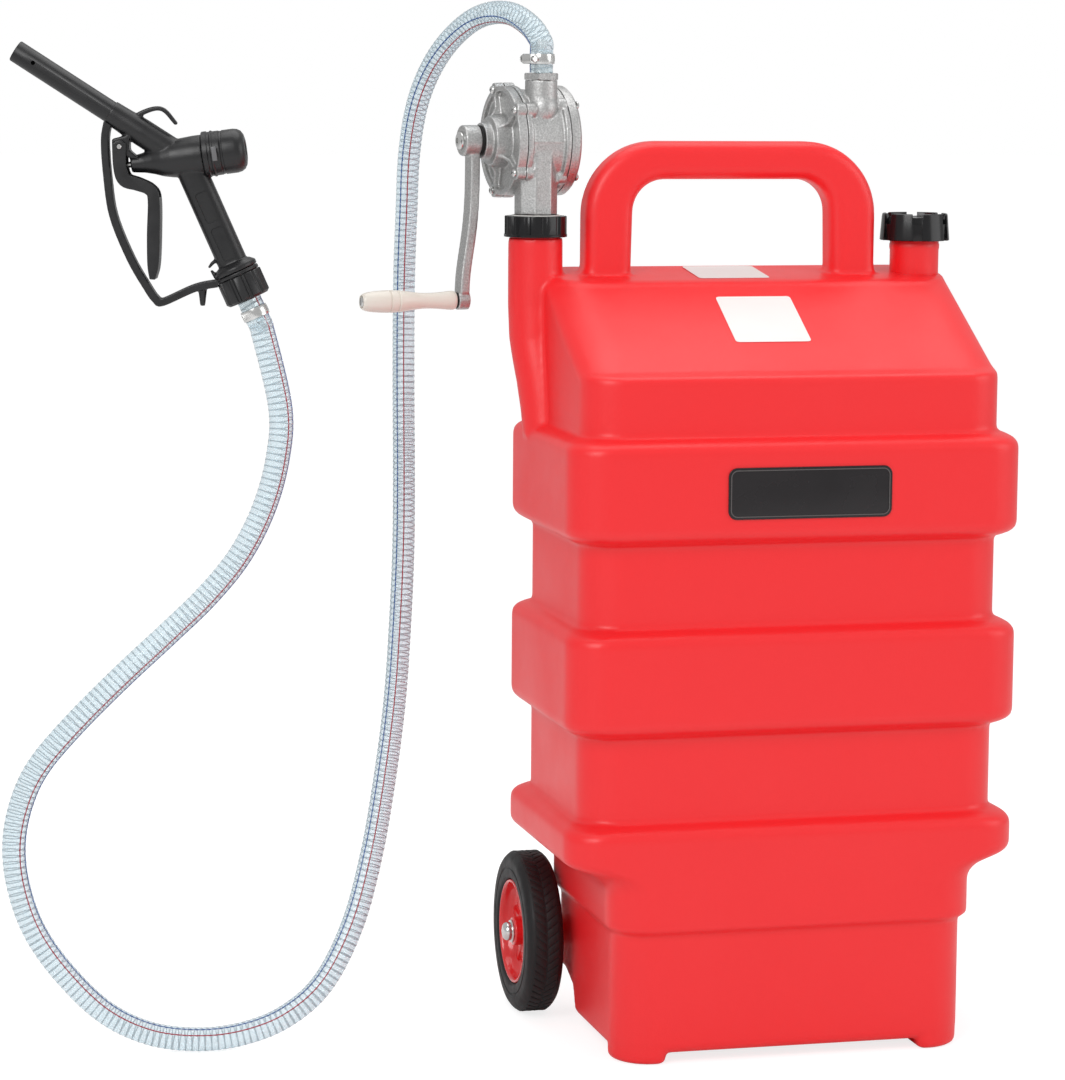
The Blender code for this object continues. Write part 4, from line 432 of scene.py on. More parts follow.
def rounded(thing, width, segments=3, angle=32):
    """Round the sharp edges."""
    return shaped(thing, ("BEVEL", {"width": width, "segments": segments, "limit_method": "ANGLE",
                                    "angle_limit": radians(angle)}))


def carve(thing, *tools, operation="DIFFERENCE"):
    """Cut tools out of a piece, or join them to it, and remove them."""
    for tool in tools:
        shaped(thing, ("BOOLEAN", {"operation": operation, "solver": "EXACT", "object": tool}))
        discard(tool)
    return thing


def merged(name, things):
    """One object that holds the meshes of several."""
    shape = bmesh.new()
    for thing in things:
        shape.from_mesh(thing.data)
        discard(thing)
    data = bpy.data.meshes.new(name)
    shape.to_mesh(data)
    shape.free()
    return new_object(name, data)


def moulded(name, things, voxel, passes=3, share=0.5):
    """Melt overlapping shells into one skin with soft fillets, as a moulding or casting has."""
    steps = [("REMESH", {"mode": "VOXEL", "voxel_size": voxel}), ("SMOOTH", {"factor": 0.5, "iterations": passes})]
    if share < 1:
        steps.append(("DECIMATE", {"ratio": share}))
    return shaped(merged(name, things), *steps)


def fine(voxel):
    return voxel * 1.0


def dress(thing, finish, body="caddy", smooth=35, nodes=None):
    """Give a finished piece its material and its body, and hide the nodes that it stands for.

    A piece whose name ends in _look stands for the node that its name starts with.
    """
    if nodes is None:
        nodes = [thing.name.removesuffix("_look")] if thing.name.endswith("_look") else []
    thing.data.materials.clear()
    thing.data.materials.append(finishes[finish])
    thing.data.shade_smooth()
    thing.data.set_sharp_from_angle(angle=radians(smooth))
    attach(thing, body)
    if nodes:
        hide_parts(*nodes)
    return thing


# Geometry Nodes for what repeats
def geometry_group(name):
    return new_group(name, "Geometry", {"Geometry": "Geometry"}, {"Geometry": "Geometry"})


def finish_group(tree, result, geometry):
    """Make a tree's copies real and send them out."""
    real = add_node(tree, "GeometryNodeRealizeInstances", {"Geometry": geometry})
    tree.links.new(real.outputs[0], result.inputs[0])
    return tree


def grown(thing, tree):
    """Run a geometry tree on an object and keep the result as its plain mesh."""
    thing.modifiers.new(tree.name, "NODES").node_group = tree
    name, data = thing.name, settled_mesh(thing)
    discard(thing)
    tidy_mesh(data)
    return new_object(name, data)


def line_object(name, points):
    """An open curve of straight steps."""
    curve = bpy.data.curves.new(name, "CURVE")
    curve.dimensions = "3D"
    line = curve.splines.new("POLY")
    line.points.add(len(points) - 1)
    for point, spot in zip(line.points, points):
        point.co = (*spot, 1)
    return new_object(name, curve)


def turn_angle(tree, per_turn, start):
    """The angle of each point of a tree, where a full turn takes a given number of points."""
    index = tree.nodes.new("GeometryNodeInputIndex").outputs[0]
    return maths(tree, "ADD", maths(tree, "MULTIPLY", maths(tree, "DIVIDE", index, per_turn), 2 * pi), start)


def swept(tree, curve, sides, radius, scale=1.0):
    """A round section swept along a curve."""
    profile = add_node(tree, "GeometryNodeCurvePrimitiveCircle", {"Resolution": sides, "Radius": radius})
    return add_node(tree, "GeometryNodeCurveToMesh", {
        "Curve": curve, "Profile Curve": profile.outputs["Curve"], "Fill Caps": True, "Scale": scale}).outputs["Mesh"]


def ribbed_hose(name, path, radius, depth, per_rib, sides):
    """A tube along the path whose radius swells and shrinks with every rib."""
    tree, given, result = geometry_group("ribbed_hose")
    even = add_node(tree, "GeometryNodeResampleCurve", {"Curve": given[0], "Count": len(path)}).outputs["Curve"]
    wave = maths(tree, "COSINE", turn_angle(tree, per_rib, 0.0))
    dip = maths(tree, "MULTIPLY", maths(tree, "SUBTRACT", 1.0, wave), 0.5)
    reach = maths(tree, "SUBTRACT", radius, maths(tree, "MULTIPLY", dip, depth))
    return grown(line_object(name, path), finish_group(tree, result, swept(tree, even, sides, 1.0, reach)))


def wound_wire(name, path, per_turn, start, winding_radius, wire_radius):
    """A wire wound about the path at a steady pitch, or laid almost straight along it where a turn is very long."""
    tree, given, result = geometry_group("wound_wire")
    even = add_node(tree, "GeometryNodeResampleCurve", {"Curve": given[0], "Count": len(path)}).outputs["Curve"]
    angle = turn_angle(tree, per_turn, start)
    normal = tree.nodes.new("GeometryNodeInputNormal").outputs[0]
    tangent = tree.nodes.new("GeometryNodeInputTangent").outputs[0]
    side = vector_maths(tree, "CROSS_PRODUCT", tangent, normal)
    along_normal, along_side = (
        vector_maths(tree, "SCALE", way, maths(tree, "MULTIPLY", maths(tree, wave, angle), winding_radius))
        for way, wave in ((normal, "COSINE"), (side, "SINE")))
    wire = add_node(tree, "GeometryNodeSetPosition", {
        "Geometry": even, "Offset": vector_maths(tree, "ADD", along_normal, along_side)}).outputs["Geometry"]
    return grown(line_object(name, path), finish_group(tree, result, swept(tree, wire, 6, wire_radius)))


def copies(tree, block, points, turn):
    """Copies of a block on points."""
    copy = add_node(tree, "GeometryNodeObjectInfo", {"Object": block})
    return add_node(tree, "GeometryNodeInstanceOnPoints", {
        "Points": points, "Instance": copy.outputs["Geometry"], "Rotation": turn}).outputs["Instances"]


def with_ring(thing, block, count, radius, height, start=0.0, skew=0.0):
    """A turned piece with a ring of blocks about its axis, each skewed from the axis."""
    tree, given, result = geometry_group("ring_of_blocks")
    angle = turn_angle(tree, count, start)
    x, y = (maths(tree, "MULTIPLY", maths(tree, wave, angle), radius) for wave in ("COSINE", "SINE"))
    spot = add_node(tree, "ShaderNodeCombineXYZ", {"X": x, "Y": y, "Z": height}).outputs[0]
    turn = add_node(tree, "ShaderNodeCombineXYZ", {"X": radians(skew), "Z": angle}).outputs[0]
    dots = add_node(tree, "GeometryNodePoints", {"Count": count, "Position": spot}).outputs[0]
    both = add_node(tree, "GeometryNodeJoinGeometry")
    tree.links.new(copies(tree, block, dots, turn), both.inputs[0])
    tree.links.new(given[0], both.inputs[0])
    return grown(thing, finish_group(tree, result, both.outputs[0]))


def spread(name, spots, block, turn):
    """Copies of a block on spots, all turned alike."""
    tree, given, result = geometry_group("copies_on_points")
    return grown(solid(name, spots, []), finish_group(tree, result, copies(tree, block, given[0], turn)))


# The free hose, on the route that the part has
hose_radius = 0.0108
hose_straight = 0.0216
hose_pitch = 0.0058
points_per_rib = 6
points_per_turn = 12
almost_straight = 1000000
tracer_points = 400
hose_route = (
    (-0.199, 0.09, 0.9235), (-0.209, 0.122, 0.935), (-0.221, 0.158, 0.936), (-0.234, 0.192, 0.927),
    (-0.248, 0.227, 0.906), (-0.259, 0.255, 0.878), (-0.2665, 0.274, 0.844), (-0.27, 0.288, 0.8),
    (-0.271, 0.294, 0.746), (-0.273, 0.294, 0.688), (-0.275, 0.287, 0.627), (-0.278, 0.272, 0.565),
    (-0.283, 0.246, 0.499), (-0.291, 0.21, 0.432), (-0.302, 0.172, 0.365), (-0.315, 0.135, 0.295),
    (-0.332, 0.1, 0.226), (-0.351, 0.068, 0.162), (-0.374, 0.042, 0.103), (-0.405, 0.024, 0.0545),
    (-0.442, 0.014, 0.0275), (-0.483, 0.011, 0.0145), (-0.524, 0.012, 0.0118), (-0.566, 0.017, 0.0185),
    (-0.605, 0.024, 0.0385), (-0.64, 0.03, 0.074), (-0.666, 0.034, 0.113), (-0.68, 0.035, 0.154),
    (-0.684, 0.034, 0.193), (-0.678, 0.03, 0.23), (-0.663, 0.024, 0.265), (-0.633, 0.015, 0.303),
    (-0.591, 0.005, 0.347), (-0.55, -0.002, 0.386), (-0.515, -0.006, 0.42), (-0.486, -0.009, 0.456),
    (-0.465, -0.012, 0.498), (-0.453, -0.014, 0.543), (-0.451, -0.015, 0.588))


def build_hose():
    """The clear ribbed hose, the steel helix in its wall and its two coloured tracers."""
    first, last = ([place.translation + place.to_3x3() @ Vector((0, 0, 1)) * hose_straight * share
                    for share in (0, 0.5, 1.0, 1.25)] for place in (outlet_frame, inlet_frame))
    centre = smooth_path(first + [tank_frame.translation + Vector(spot) for spot in hose_route] + last[::-1], 8)
    length = sum((after - before).length for before, after in zip(centre, centre[1:]))
    ribs = round(length / hose_pitch)
    path = even_path(centre, points_per_rib * ribs + 1)
    wall = ribbed_hose("hose_wall", path, hose_radius, 0.00035, points_per_rib, 22)
    pieces = []
    for name, finish, count, per_turn, start, winding_radius, wire_radius in (
            ("hose_helix", "helix_steel", points_per_turn * ribs + 1, points_per_turn, 0.0, 0.01, 0.00055),
            ("hose_tracer_blue", "tracer_blue", tracer_points, almost_straight, 3.15, 0.0102, 0.00072),
            ("hose_tracer_red", "tracer_red", tracer_points, almost_straight, 2.5, 0.0102, 0.00066)):
        wire = wound_wire(name, even_path(centre, count), per_turn, start, winding_radius, wire_radius)
        pieces.append(dress(wire, finish))
    return dress(wall, "clear_vinyl", nodes=["hose"]), centre, length, pieces


# Tank
corner_radius = 0.036
rib_proud = 0.0156
rib_edge = 0.014
underside_height = 0.0095
bottom_edge = 0.009
lower_half = 0.165
lower_proud = 0.006
slope_foot = 0.613
deck_height = 0.694
deck_front = 0.034
deck_rise = 0.009
deck_edge = 0.0045
neck_radius = 0.0229
rib_shares = ((0.0, 0.0), (0.1, 0.14), (0.25, 0.46), (0.45, 0.76), (0.7, 0.94), (1.0, 1.0))
low_rib_shares = ((0.0, 0.0), (0.14, 0.02), (0.28, 0.08), (0.4, 0.18), (0.5, 0.3), (0.6, 0.5), (0.7, 0.72),
                  (0.78, 0.86), (0.86, 0.95), (1.0, 1.0))


def tank_section(height, half_width, front, back, corner=corner_radius, rise=0.0):
    """A rounded level section of the tank, whose height may rise to the back."""
    return [(x, y, height + rise * (y - front) / (back - front))
            for x, y in rounded_box(half_width, front, back, corner, 10)]


def tank_rings():
    """Sections of the tank from its underside to its deck."""
    full, deep = tank_width / 2, tank_depth / 2
    waist, waist_deep, low_front = full - rib_proud, deep - rib_proud, deep - lower_proud
    rows = []
    for step in range(6):
        angle = radians(90 * step / 5)
        shrink = bottom_edge * (1 - sin(angle))
        rows.append((underside_height + bottom_edge * (1 - cos(angle)), lower_half - shrink, low_front - shrink,
                     waist_deep - shrink))
    for height, out in ((0.118, 0), (0.121, lower_proud / 2), (0.124, lower_proud)):
        rows.append((height, lower_half + out, low_front + out, waist_deep + out))
    for height_share, out_share in low_rib_shares:
        rows.append((0.155 + 0.032 * height_share,
                     lower_half + lower_proud + (full - lower_half - lower_proud) * out_share, deep,
                     waist_deep + lower_proud + (rib_proud - lower_proud) * out_share))
    for edge, way in ((0.22, -1), (0.296, 1), (0.395, -1), (0.468, 1), (0.565, -1)):
        for height_share, out_share in rib_shares[::way]:
            out = rib_proud * out_share
            rows.append((edge + way * rib_edge * height_share, waist + out, waist_deep + out, waist_deep + out))
    run, rise = deck_front + waist_deep, deck_height - slope_foot
    for height, back in ((0, 0), (0.004, 0.002), (0.008, run * 0.008 / rise)):
        rows.append((slope_foot + height, waist, waist_deep - back, waist_deep))
    rings = [tank_section(height, half_width, -front, back) for height, half_width, front, back in rows]
    rounding = min(corner_radius, (waist_deep - deck_front) / 2 - deck_edge)
    near = 1 - deck_edge / rise
    for step in range(5):
        angle = radians(90 * step / 4)
        drop, shrink = deck_edge * (1 - sin(angle)), deck_edge * (1 - cos(angle))
        front = -waist_deep + run * near + (run * (1 - near) + deck_edge / 3) * sin(angle) ** 2
        rings.append(tank_section(slope_foot + rise - drop, waist - shrink, front, waist_deep - shrink,
                                  rounding + deck_edge - shrink, deck_rise))
    return rings


def handle_loop():
    """Front view of the carry handle."""
    half, bar, top, foot, bend, inner_bend = 0.14, 0.035, 0.82, deck_height - 0.03, 0.068, 0.03
    inner_half = half - 0.045
    left = [(-half - 0.004, foot), (-half - 0.0025, foot + 0.03), (-half, foot + 0.042)]
    loop = left + arc(bend - half, top - bend, bend, 180, -90, 14) + arc(half - bend, top - bend, bend, 90, -90, 14)
    loop += [(-x, z) for x, z in left[::-1]] + [(inner_half + 0.002, foot)]
    for side, start in ((1, 0), (-1, 90)):
        loop += arc(side * (inner_half - inner_bend), top - bar - inner_bend, inner_bend, start, 90, 10)
    return loop + [(-inner_half - 0.002, foot)]


def foot_outline(side):
    """A foot that fills a front corner of the tank, seen from above, about the corner's centre."""
    corners = ((0, 0, corner_radius - 0.0004, 270), (0.0276, 0.002, 0.008, 0), (0.002, -0.002, 0.012, 90),
               (-0.002, -0.0276, 0.008, 180))
    return [(side * x, y) for centre_x, centre_y, radius, start in corners
            for x, y in arc(centre_x, centre_y, radius, start, 90, 8)][::side]


def build_tank():
    """The moulded tank with its handle, leaning column, necks and feet, melted into one skin."""
    notch, tunnel_radius = 0.03, 0.0072
    side_view = [(notch, -0.002), (notch, 0.014), (notch + 0.009, 0.036), (notch + 0.035, 0.046),
                 (tank_depth, 0.056), (tank_depth, -0.002)]
    cutter = prism("rear_notch", side_view, tank_width, tank_frame @ turned_about("Z", 90) @ lying)
    tunnel = drum("axle_tunnel", tunnel_radius, -tank_width, tank_width,
                  tank_frame @ moved(0, wheel_y, wheel_radius) @ turned_about("Y", 90), 24)
    parts = [carve(skin("tank", tank_rings(), tank_frame), cutter, tunnel)]
    column = [[(pump_neck_x + shift_x + x, neck_y + shift_y + y, height) for x, y in circle(radius, 48)]
              for height, shift_x, shift_y, radius in (
                  (0.552, 0.009, -0.026, 0.0252), (0.575, 0.008, -0.02, 0.0252), (0.6, 0.0055, -0.014, 0.0252),
                  (0.62, 0.0027, -0.009, 0.0252), (0.64, 0.0006, -0.004, 0.0252), (0.67, 0.0, -0.001, 0.0252),
                  (0.71, 0.0, 0.0, 0.0251), (0.7316, 0.0, 0.0, 0.025))]
    parts.append(skin("column", column, tank_frame))
    handle = prism("handle", handle_loop(), 0.038, tank_frame @ moved(-0.0125, neck_y) @ lying)
    parts.append(rounded(handle, 0.011, 6, 40))
    for side in (-1, 1):
        foot = prism("foot", foot_outline(side), 0.032, tank_frame @ moved(
            side * (lower_half - corner_radius), lower_proud + corner_radius - tank_depth / 2, 0.016))
        parts.append(rounded(foot, 0.006, 5, 40))
    voxel, share = ((0.0023, 0.34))
    tank = moulded("tank_moulding", parts, voxel, 4, share)
    dress(tank, "tank_red", smooth=60, nodes=["tank_shell"])
    neck_profile = [(0, neck_top - 0.001), (neck_radius - 0.001, neck_top - 0.001), (neck_radius, neck_top - 0.002),
                    (neck_radius, 0.7252), (neck_radius + 0.0005, 0.7242), (neck_radius + 0.0005, 0.7208),
                    (neck_radius, 0.7188), (neck_radius, 0.682), (0, 0.682)]
    for name, x in (("pump_neck_bead", pump_neck_x), ("fill_neck_bead", fill_neck_x)):
        dress(lathe(name, neck_profile, tank_frame @ moved(x, neck_y), 72), "tank_red")


# Wheels
hub_radius = 0.0135
axle_space = 0.0058
tread_floor = wheel_radius - 0.0008
tread_count = 58
tread_row = 0.0059
tread_length = 0.0104
tread_lean = 0.0036
spoke_count = 5


def tread_bar(lean):
    """A slanting tread bar, its length along the axle and its thickness outwards."""
    half = pi * tread_floor / tread_count - 0.0006
    long = tread_length / 2
    outline = [(-half - lean, -long), (half - lean, -long), (half + lean, long), (-half + lean, long)]
    outward = Matrix(((0, 0, 1, 0), (1, 0, 0, 0), (0, 1, 0, 0), (0, 0, 0, 1)))
    return rounded(prism("tread_bar", outline, 0.0026, outward), 0.0003, 2)


def build_wheel(side, blocks):
    """A tyre with diagonal tread blocks, a pressed dish with raised lenses, and a domed nut."""
    place = wheel_frames[side]
    body = side + "_wheel"
    edge = [(radius, wheel_width / 2 - drop) for radius, drop in (
        (0.0493, 0.0035), (0.0505, 0.0014), (0.053, 0.0003), (0.0588, 0.0003), (0.0596, 0.0011), (0.0606, 0.0011),
        (0.0614, 0.0003), (0.0672, 0.0004), (0.07, 0.001), (0.0722, 0.0026), (0.074, 0.0044),
        (tread_floor, 0.0064))]
    tyre = lathe(side + "_tyre_look", edge + [(radius, -height) for radius, height in reversed(edge)], sides=128,
                 ring=True)
    step = 2 * pi / tread_count
    for block, height, start in zip(blocks, (tread_row, -tread_row), (0.0, 0.5 * step)):
        tyre = with_ring(tyre, block, tread_count, tread_floor - 0.0009, height, start)
    dress(placed(tyre, place), "tread_rubber", body, 40)
    profile = [(hub_radius - 0.001, 0.0155), (hub_radius, 0.0145), (hub_radius, 0.005), (0.016, 0.0034),
               (0.034, 0.0026), (0.0385, 0.0018), (0.042, 0.004), (0.0445, 0.009), (0.0455, 0.014),
               (0.0462, 0.0159), (0.0476, 0.0167), (0.049, 0.0159), (0.049, -0.0159), (0.0476, -0.0167),
               (0.0462, -0.0159), (0.0452, -0.014), (0.044, -0.007), (0.041, -0.003), (0.037, -0.004),
               (0.016, -0.0034), (hub_radius, -0.005), (hub_radius, -0.027), (0.005, -0.027),
               (0.005, 0.0155)]
    spoke_view = [(0.0125, 0.0052), (0.0125, -0.0052), (0.029, -0.0044), (0.04, -0.0036), (0.04, 0.0036),
                  (0.029, 0.0044)]
    shapes = [lathe("dish", profile, sides=128, ring=True)]
    for number in range(spoke_count):
        turn = 360 // spoke_count * number
        spoke = prism("spoke", spoke_view, 0.0064, turned_about("Z", turn) @ moved(0, 0, 0.0026))
        shapes.append(rounded(spoke, 0.0016, 3))
        shapes.append(ball("lens", (0.0092, 0.005, 0.0028), (0.0262, 0, 0.0026), turned_about("Z", turn + 36)))
    rim = moulded(side + "_rim_look", shapes, fine(0.0009), 4, 0.6)
    carve(rim, drum("bore", axle_space, -0.04, 0.04, sides=32))
    dress(placed(rim, place), "rim_enamel", body, 60)
    nut = lathe(side + "_axle_nut_look", [
        (0, 0.025), (0.0036, 0.0249), (0.0062, 0.0241), (0.0078, 0.0228), (0.0086, 0.0212), (0.0088, 0.02),
        (0.0088, 0.0176), (0.0104, 0.0173), (0.0108, 0.0167), (0.0106, 0.0158), (axle_space, 0.0158),
        (axle_space, 0.0223), (0, 0.0223)], place, 64)
    dress(nut, "zinc_steel", smooth=40)


# Fill cap, union nut and the ring on top of it
cap_foot = neck_top - 0.0142
cap_top = neck_top + 0.011
nut_foot = neck_top - 0.0095
nut_top = neck_top + 0.0096


def build_fill_cap():
    """The lobed cap with its recessed top and its thumb notches."""
    profile = [(0, cap_top - 0.004), (0.0255, cap_top - 0.004), (0.0268, cap_top - 0.0032),
               (0.0274, cap_top - 0.0005), (0.0281, cap_top), (0.0296, cap_top), (0.0305, cap_top - 0.0006),
               (0.0309, cap_top - 0.0022), (0.0327, cap_foot + 0.0006), (0.0322, cap_foot), (0.0236, cap_foot),
               (0.0236, cap_top - 0.006), (0, cap_top - 0.006)]
    cap = lathe("fill_cap_look", profile, sides=144)
    for number in range(6):
        turn = turned_about("Z", 60 * number - 90 - camera_yaw)
        carve(cap, brick("notch", (0.012, 0.01, 0.022), turn @ moved(0.0322, 0, cap_top + 0.0012)),
              brick("groove", (0.008, 0.0084, 0.032), turn @ moved(0.034, 0, cap_top - 0.013)))
    rounded(cap, 0.0004, 2, 50)
    dress(placed(cap, cap_frame), "gloss_black", "fill_cap_body", 30)


def build_union_nut():
    """The ribbed union nut and the pale ring that shows on top of it."""
    nut = prism("union_nut_look", ribbed_outline(0.0288, 0.0017, 12), nut_top - nut_foot,
                moved(0, 0, (nut_top + nut_foot) / 2))
    rounded(nut, 0.0006, 2, 40)
    collar = lathe("collar", [(0, nut_foot + 0.0026), (0.0288, nut_foot + 0.0026), (0.0291, nut_foot + 0.0021),
                              (0.0291, nut_foot + 0.0004), (0.0288, nut_foot), (0, nut_foot)])
    carve(nut, collar, operation="UNION")
    carve(nut, drum("hollow", 0.0234, nut_foot - 0.002, neck_top + 0.0072, sides=96),
          drum("hole", 0.0204, nut_foot - 0.002, nut_top + 0.002, sides=96))
    dress(placed(nut, pump_frame), "gloss_black", "union_nut_body", 30)
    ring = lathe("union_nut_ring", [(0.0206, nut_top + 0.0009), (0.0222, nut_top + 0.0009),
                                    (0.0226, nut_top + 0.0005), (0.0226, nut_top + 0.0001),
                                    (0.0206, nut_top + 0.0001)], pump_frame, ring=True)
    dress(ring, "nylon_white", "union_nut_body")


# Pump
def spots_around(radius, count, start):
    """Points on a circle, counted from its foot."""
    turns = [radians(start + 360 // count * number) for number in range(count)]
    return [(radius * sin(turn), -radius * cos(turn)) for turn in turns]


barrel_front = 0.016
barrel_back = 0.0265
barrel_radius = 0.047
flange_radius = 0.0505
lug_radius = 0.0068
shaft_space = 0.0074
column_foot = neck_top + 0.0103
outlet_top = 0.875
web_top = barrel_front + 0.0043
rim_top = barrel_front + 0.0093
cover_base = barrel_front + 0.0003
back_base = -barrel_back - 0.0003
back_end = back_base - 0.01
nose_radius = 0.0165
nose_top = barrel_front + 0.028
lug_spots = spots_around(0.0485, 5, 36)
back_spots = spots_around(0.046, 4, 45)


def build_pump_body():
    """The cast body: barrel, flanges, lugs, eight-sided inlet column with its gusset, and outlet boss."""
    to_pump = pump_frame.inverted() @ pump_axis
    profile = [(0, barrel_front), (flange_radius, barrel_front), (flange_radius, barrel_front - 0.005),
               (barrel_radius, barrel_front - 0.006), (barrel_radius, -barrel_back + 0.006),
               (flange_radius, -barrel_back + 0.005), (flange_radius, -barrel_back), (0, -barrel_back)]
    shapes = [lathe("barrel", profile, to_pump, 128)]
    for spots, low, high in ((lug_spots, barrel_front - 0.01, barrel_front),
                             (back_spots, -barrel_back, -barrel_back + 0.008)):
        shapes += [drum("lug", lug_radius, low, high, to_pump @ moved(x, y), 32) for x, y in spots]
    tall = axis_height - 0.006 - column_foot
    shapes.append(prism("column", polygon(0.0366, 8, pi / 8), tall, moved(0, 0, column_foot + tall / 2)))
    gusset = [(0.012, 0.7565), (0.0195, 0.758), (0.026, 0.764), (0.034, 0.77), (0.044, 0.7745),
              (0.044, 0.79), (0.012, 0.79)]
    shapes.append(prism("gusset", gusset, 0.01, moved(0.004) @ turned_about("Z", 90) @ lying))
    shapes.append(drum("boss", 0.0148, axis_height + 0.03, outlet_top, moved(outlet_shift), 64))
    shapes.append(ball("boss_foot", (0.0148, 0.0165, 0.0165), (outlet_shift, -0.0015, axis_height + 0.03)))
    shapes.append(brick("seam", (0.0013, 2 * barrel_radius + 0.0012, barrel_front + barrel_back - 0.008),
                        to_pump @ moved(0, 0, (barrel_front - barrel_back) / 2)))
    body = moulded("pump_body_look", shapes, fine(0.001))
    rim = lathe("neck_flange", [(0, column_foot + 0.002), (0.0198, column_foot + 0.002), (0.0198, neck_top + 0.0056),
                                (0.0216, neck_top + 0.0056), (0.0216, neck_top + 0.0026), (0, neck_top + 0.0026)],
                sides=64)
    body = merged("pump_body_look", [body, rim])
    carve(body, drum("chamber", 0.04, -barrel_back - 0.003, barrel_front + 0.003, to_pump @ moved(0, 0.004), 96),
          drum("inlet_port", 0.0088, neck_top, axis_height - 0.02, sides=32),
          drum("outlet_port", 0.0082, axis_height + 0.02, outlet_top + 0.002, moved(outlet_shift), 32),
          drum("socket", 0.0096, outlet_top - 0.0104, outlet_top + 0.002, moved(outlet_shift), 32))
    dress(placed(body, pump_frame), "cast_aluminium", smooth=50)


def build_covers():
    """The ribbed front cover with its stepped boss, and the dished back cover."""
    profile = [(0, nose_top), (nose_radius, nose_top), (nose_radius, 0.0362), (0.0224, 0.036),
               (0.0232, 0.03), (0.0245, web_top), (0.0449, web_top), (0.0449, rim_top), (0.0499, rim_top),
               (0.0499, cover_base), (0, cover_base)]
    shapes = [lathe("cover", profile, sides=128)]
    rib = [(0.015, 0.0355), (0.0225, 0.034), (0.026, 0.029), (0.031, rim_top + 0.0008), (0.048, rim_top),
           (0.048, cover_base + 0.001), (0.015, cover_base + 0.001)]
    for x, y in lug_spots:
        shapes.append(prism("rib", rib, 0.0032, Matrix.Rotation(atan2(y, x), 4, "Z") @ lying))
        shapes.append(drum("lug", lug_radius, cover_base + 0.0003, rim_top + 0.0002, moved(x, y), 40, 0.0064))
    front = moulded("pump_front_cover_look", shapes, fine(0.0008))
    step = lathe("step", [(0, nose_top + 0.0001), (0.0155, nose_top + 0.0001), (0.0163, nose_top - 0.0006),
                          (0.0163, 0.038), (0, 0.038)])
    front = merged("pump_front_cover_look", [front, step])
    carve(front, drum("bore", shaft_space, cover_base - 0.002, nose_top + 0.002))
    dress(placed(front, pump_axis), "cast_aluminium", smooth=50)
    outline = [(0, back_base - 0.006), (0.0073, back_base - 0.006), (0.0073, back_base), (0.0505, back_base),
               (0.0505, back_end + 0.0022), (0.0485, back_end), (0.035, back_end), (0.032, back_end + 0.0036),
               (0.016, back_end + 0.0036), (0.0125, back_end), (0, back_end)]
    back = lathe("pump_back_cover_look", outline, sides=128)
    for x, y in back_spots:
        carve(back, drum("hole", 0.0024, back_end - 0.002, back_base + 0.002, moved(x, y), 20))
    rounded(back, 0.0008, 3, 30)
    dress(placed(back, pump_axis), "cast_aluminium", smooth=40)


def build_cover_screws():
    """Pan head screws with a cross recess, spread on the covers."""
    length, recess_turn = 0.012, 0.4
    for side, spots, height, turn in (("front", lug_spots, rim_top + 0.0004, 0.0),
                                      ("back", back_spots, back_end - 0.0002, pi)):
        screw = lathe("screw", [(0, 0.0029), (0.0018, 0.0028), (0.0031, 0.0021), (0.0038, 0.001), (0.0038, 0.0),
                                (0.002, 0.0), (0.002, -length), (0, -length)], sides=32)
        carve(screw, brick("recess", (0.004, 0.0009, 0.0036), moved(0, 0, 0.003)),
              brick("recess", (0.0009, 0.004, 0.0036), moved(0, 0, 0.003)))
        heads = spread(side + "_cover_screws", [(x, y, height) for x, y in spots], screw, (turn, 0.0, recess_turn))
        discard(screw)
        dress(placed(heads, pump_axis), "zinc_steel", smooth=30,
              nodes=["%s_cover_screw_%d" % (side, number + 1) for number in range(len(spots))])


def build_fitting():
    """The hex fitting in the pump's outlet and its barb."""
    seat = outlet_top + 0.0003
    top = seat + 0.0062
    hexagon = prism("hexagon", polygon(0.029, 6), 0.0062, moved(0, 0, seat + 0.0031))
    limit = lathe("limit", [(0, top), (0.0146, top), (0.017, seat + 0.005), (0.017, seat + 0.0012),
                            (0.0152, seat), (0, seat)])
    carve(hexagon, limit, operation="INTERSECT")
    barb = lathe("barb", [(0, top + 0.019), (0.006, top + 0.019), (0.0066, top + 0.0155), (0.0062, top + 0.013),
                          (0.0066, top + 0.0095), (0.0062, top + 0.007), (0.0066, top - 0.001),
                          (0.0088, seat + 0.001), (0.009, outlet_top - 0.01), (0, outlet_top - 0.01)], sides=48)
    fitting = merged("outlet_fitting_look", [hexagon, barb])
    carve(fitting, drum("bore", 0.005, outlet_top - 0.02, top + 0.03, sides=32))
    dress(placed(fitting, pump_frame @ moved(outlet_shift)), "cast_aluminium", smooth=30)


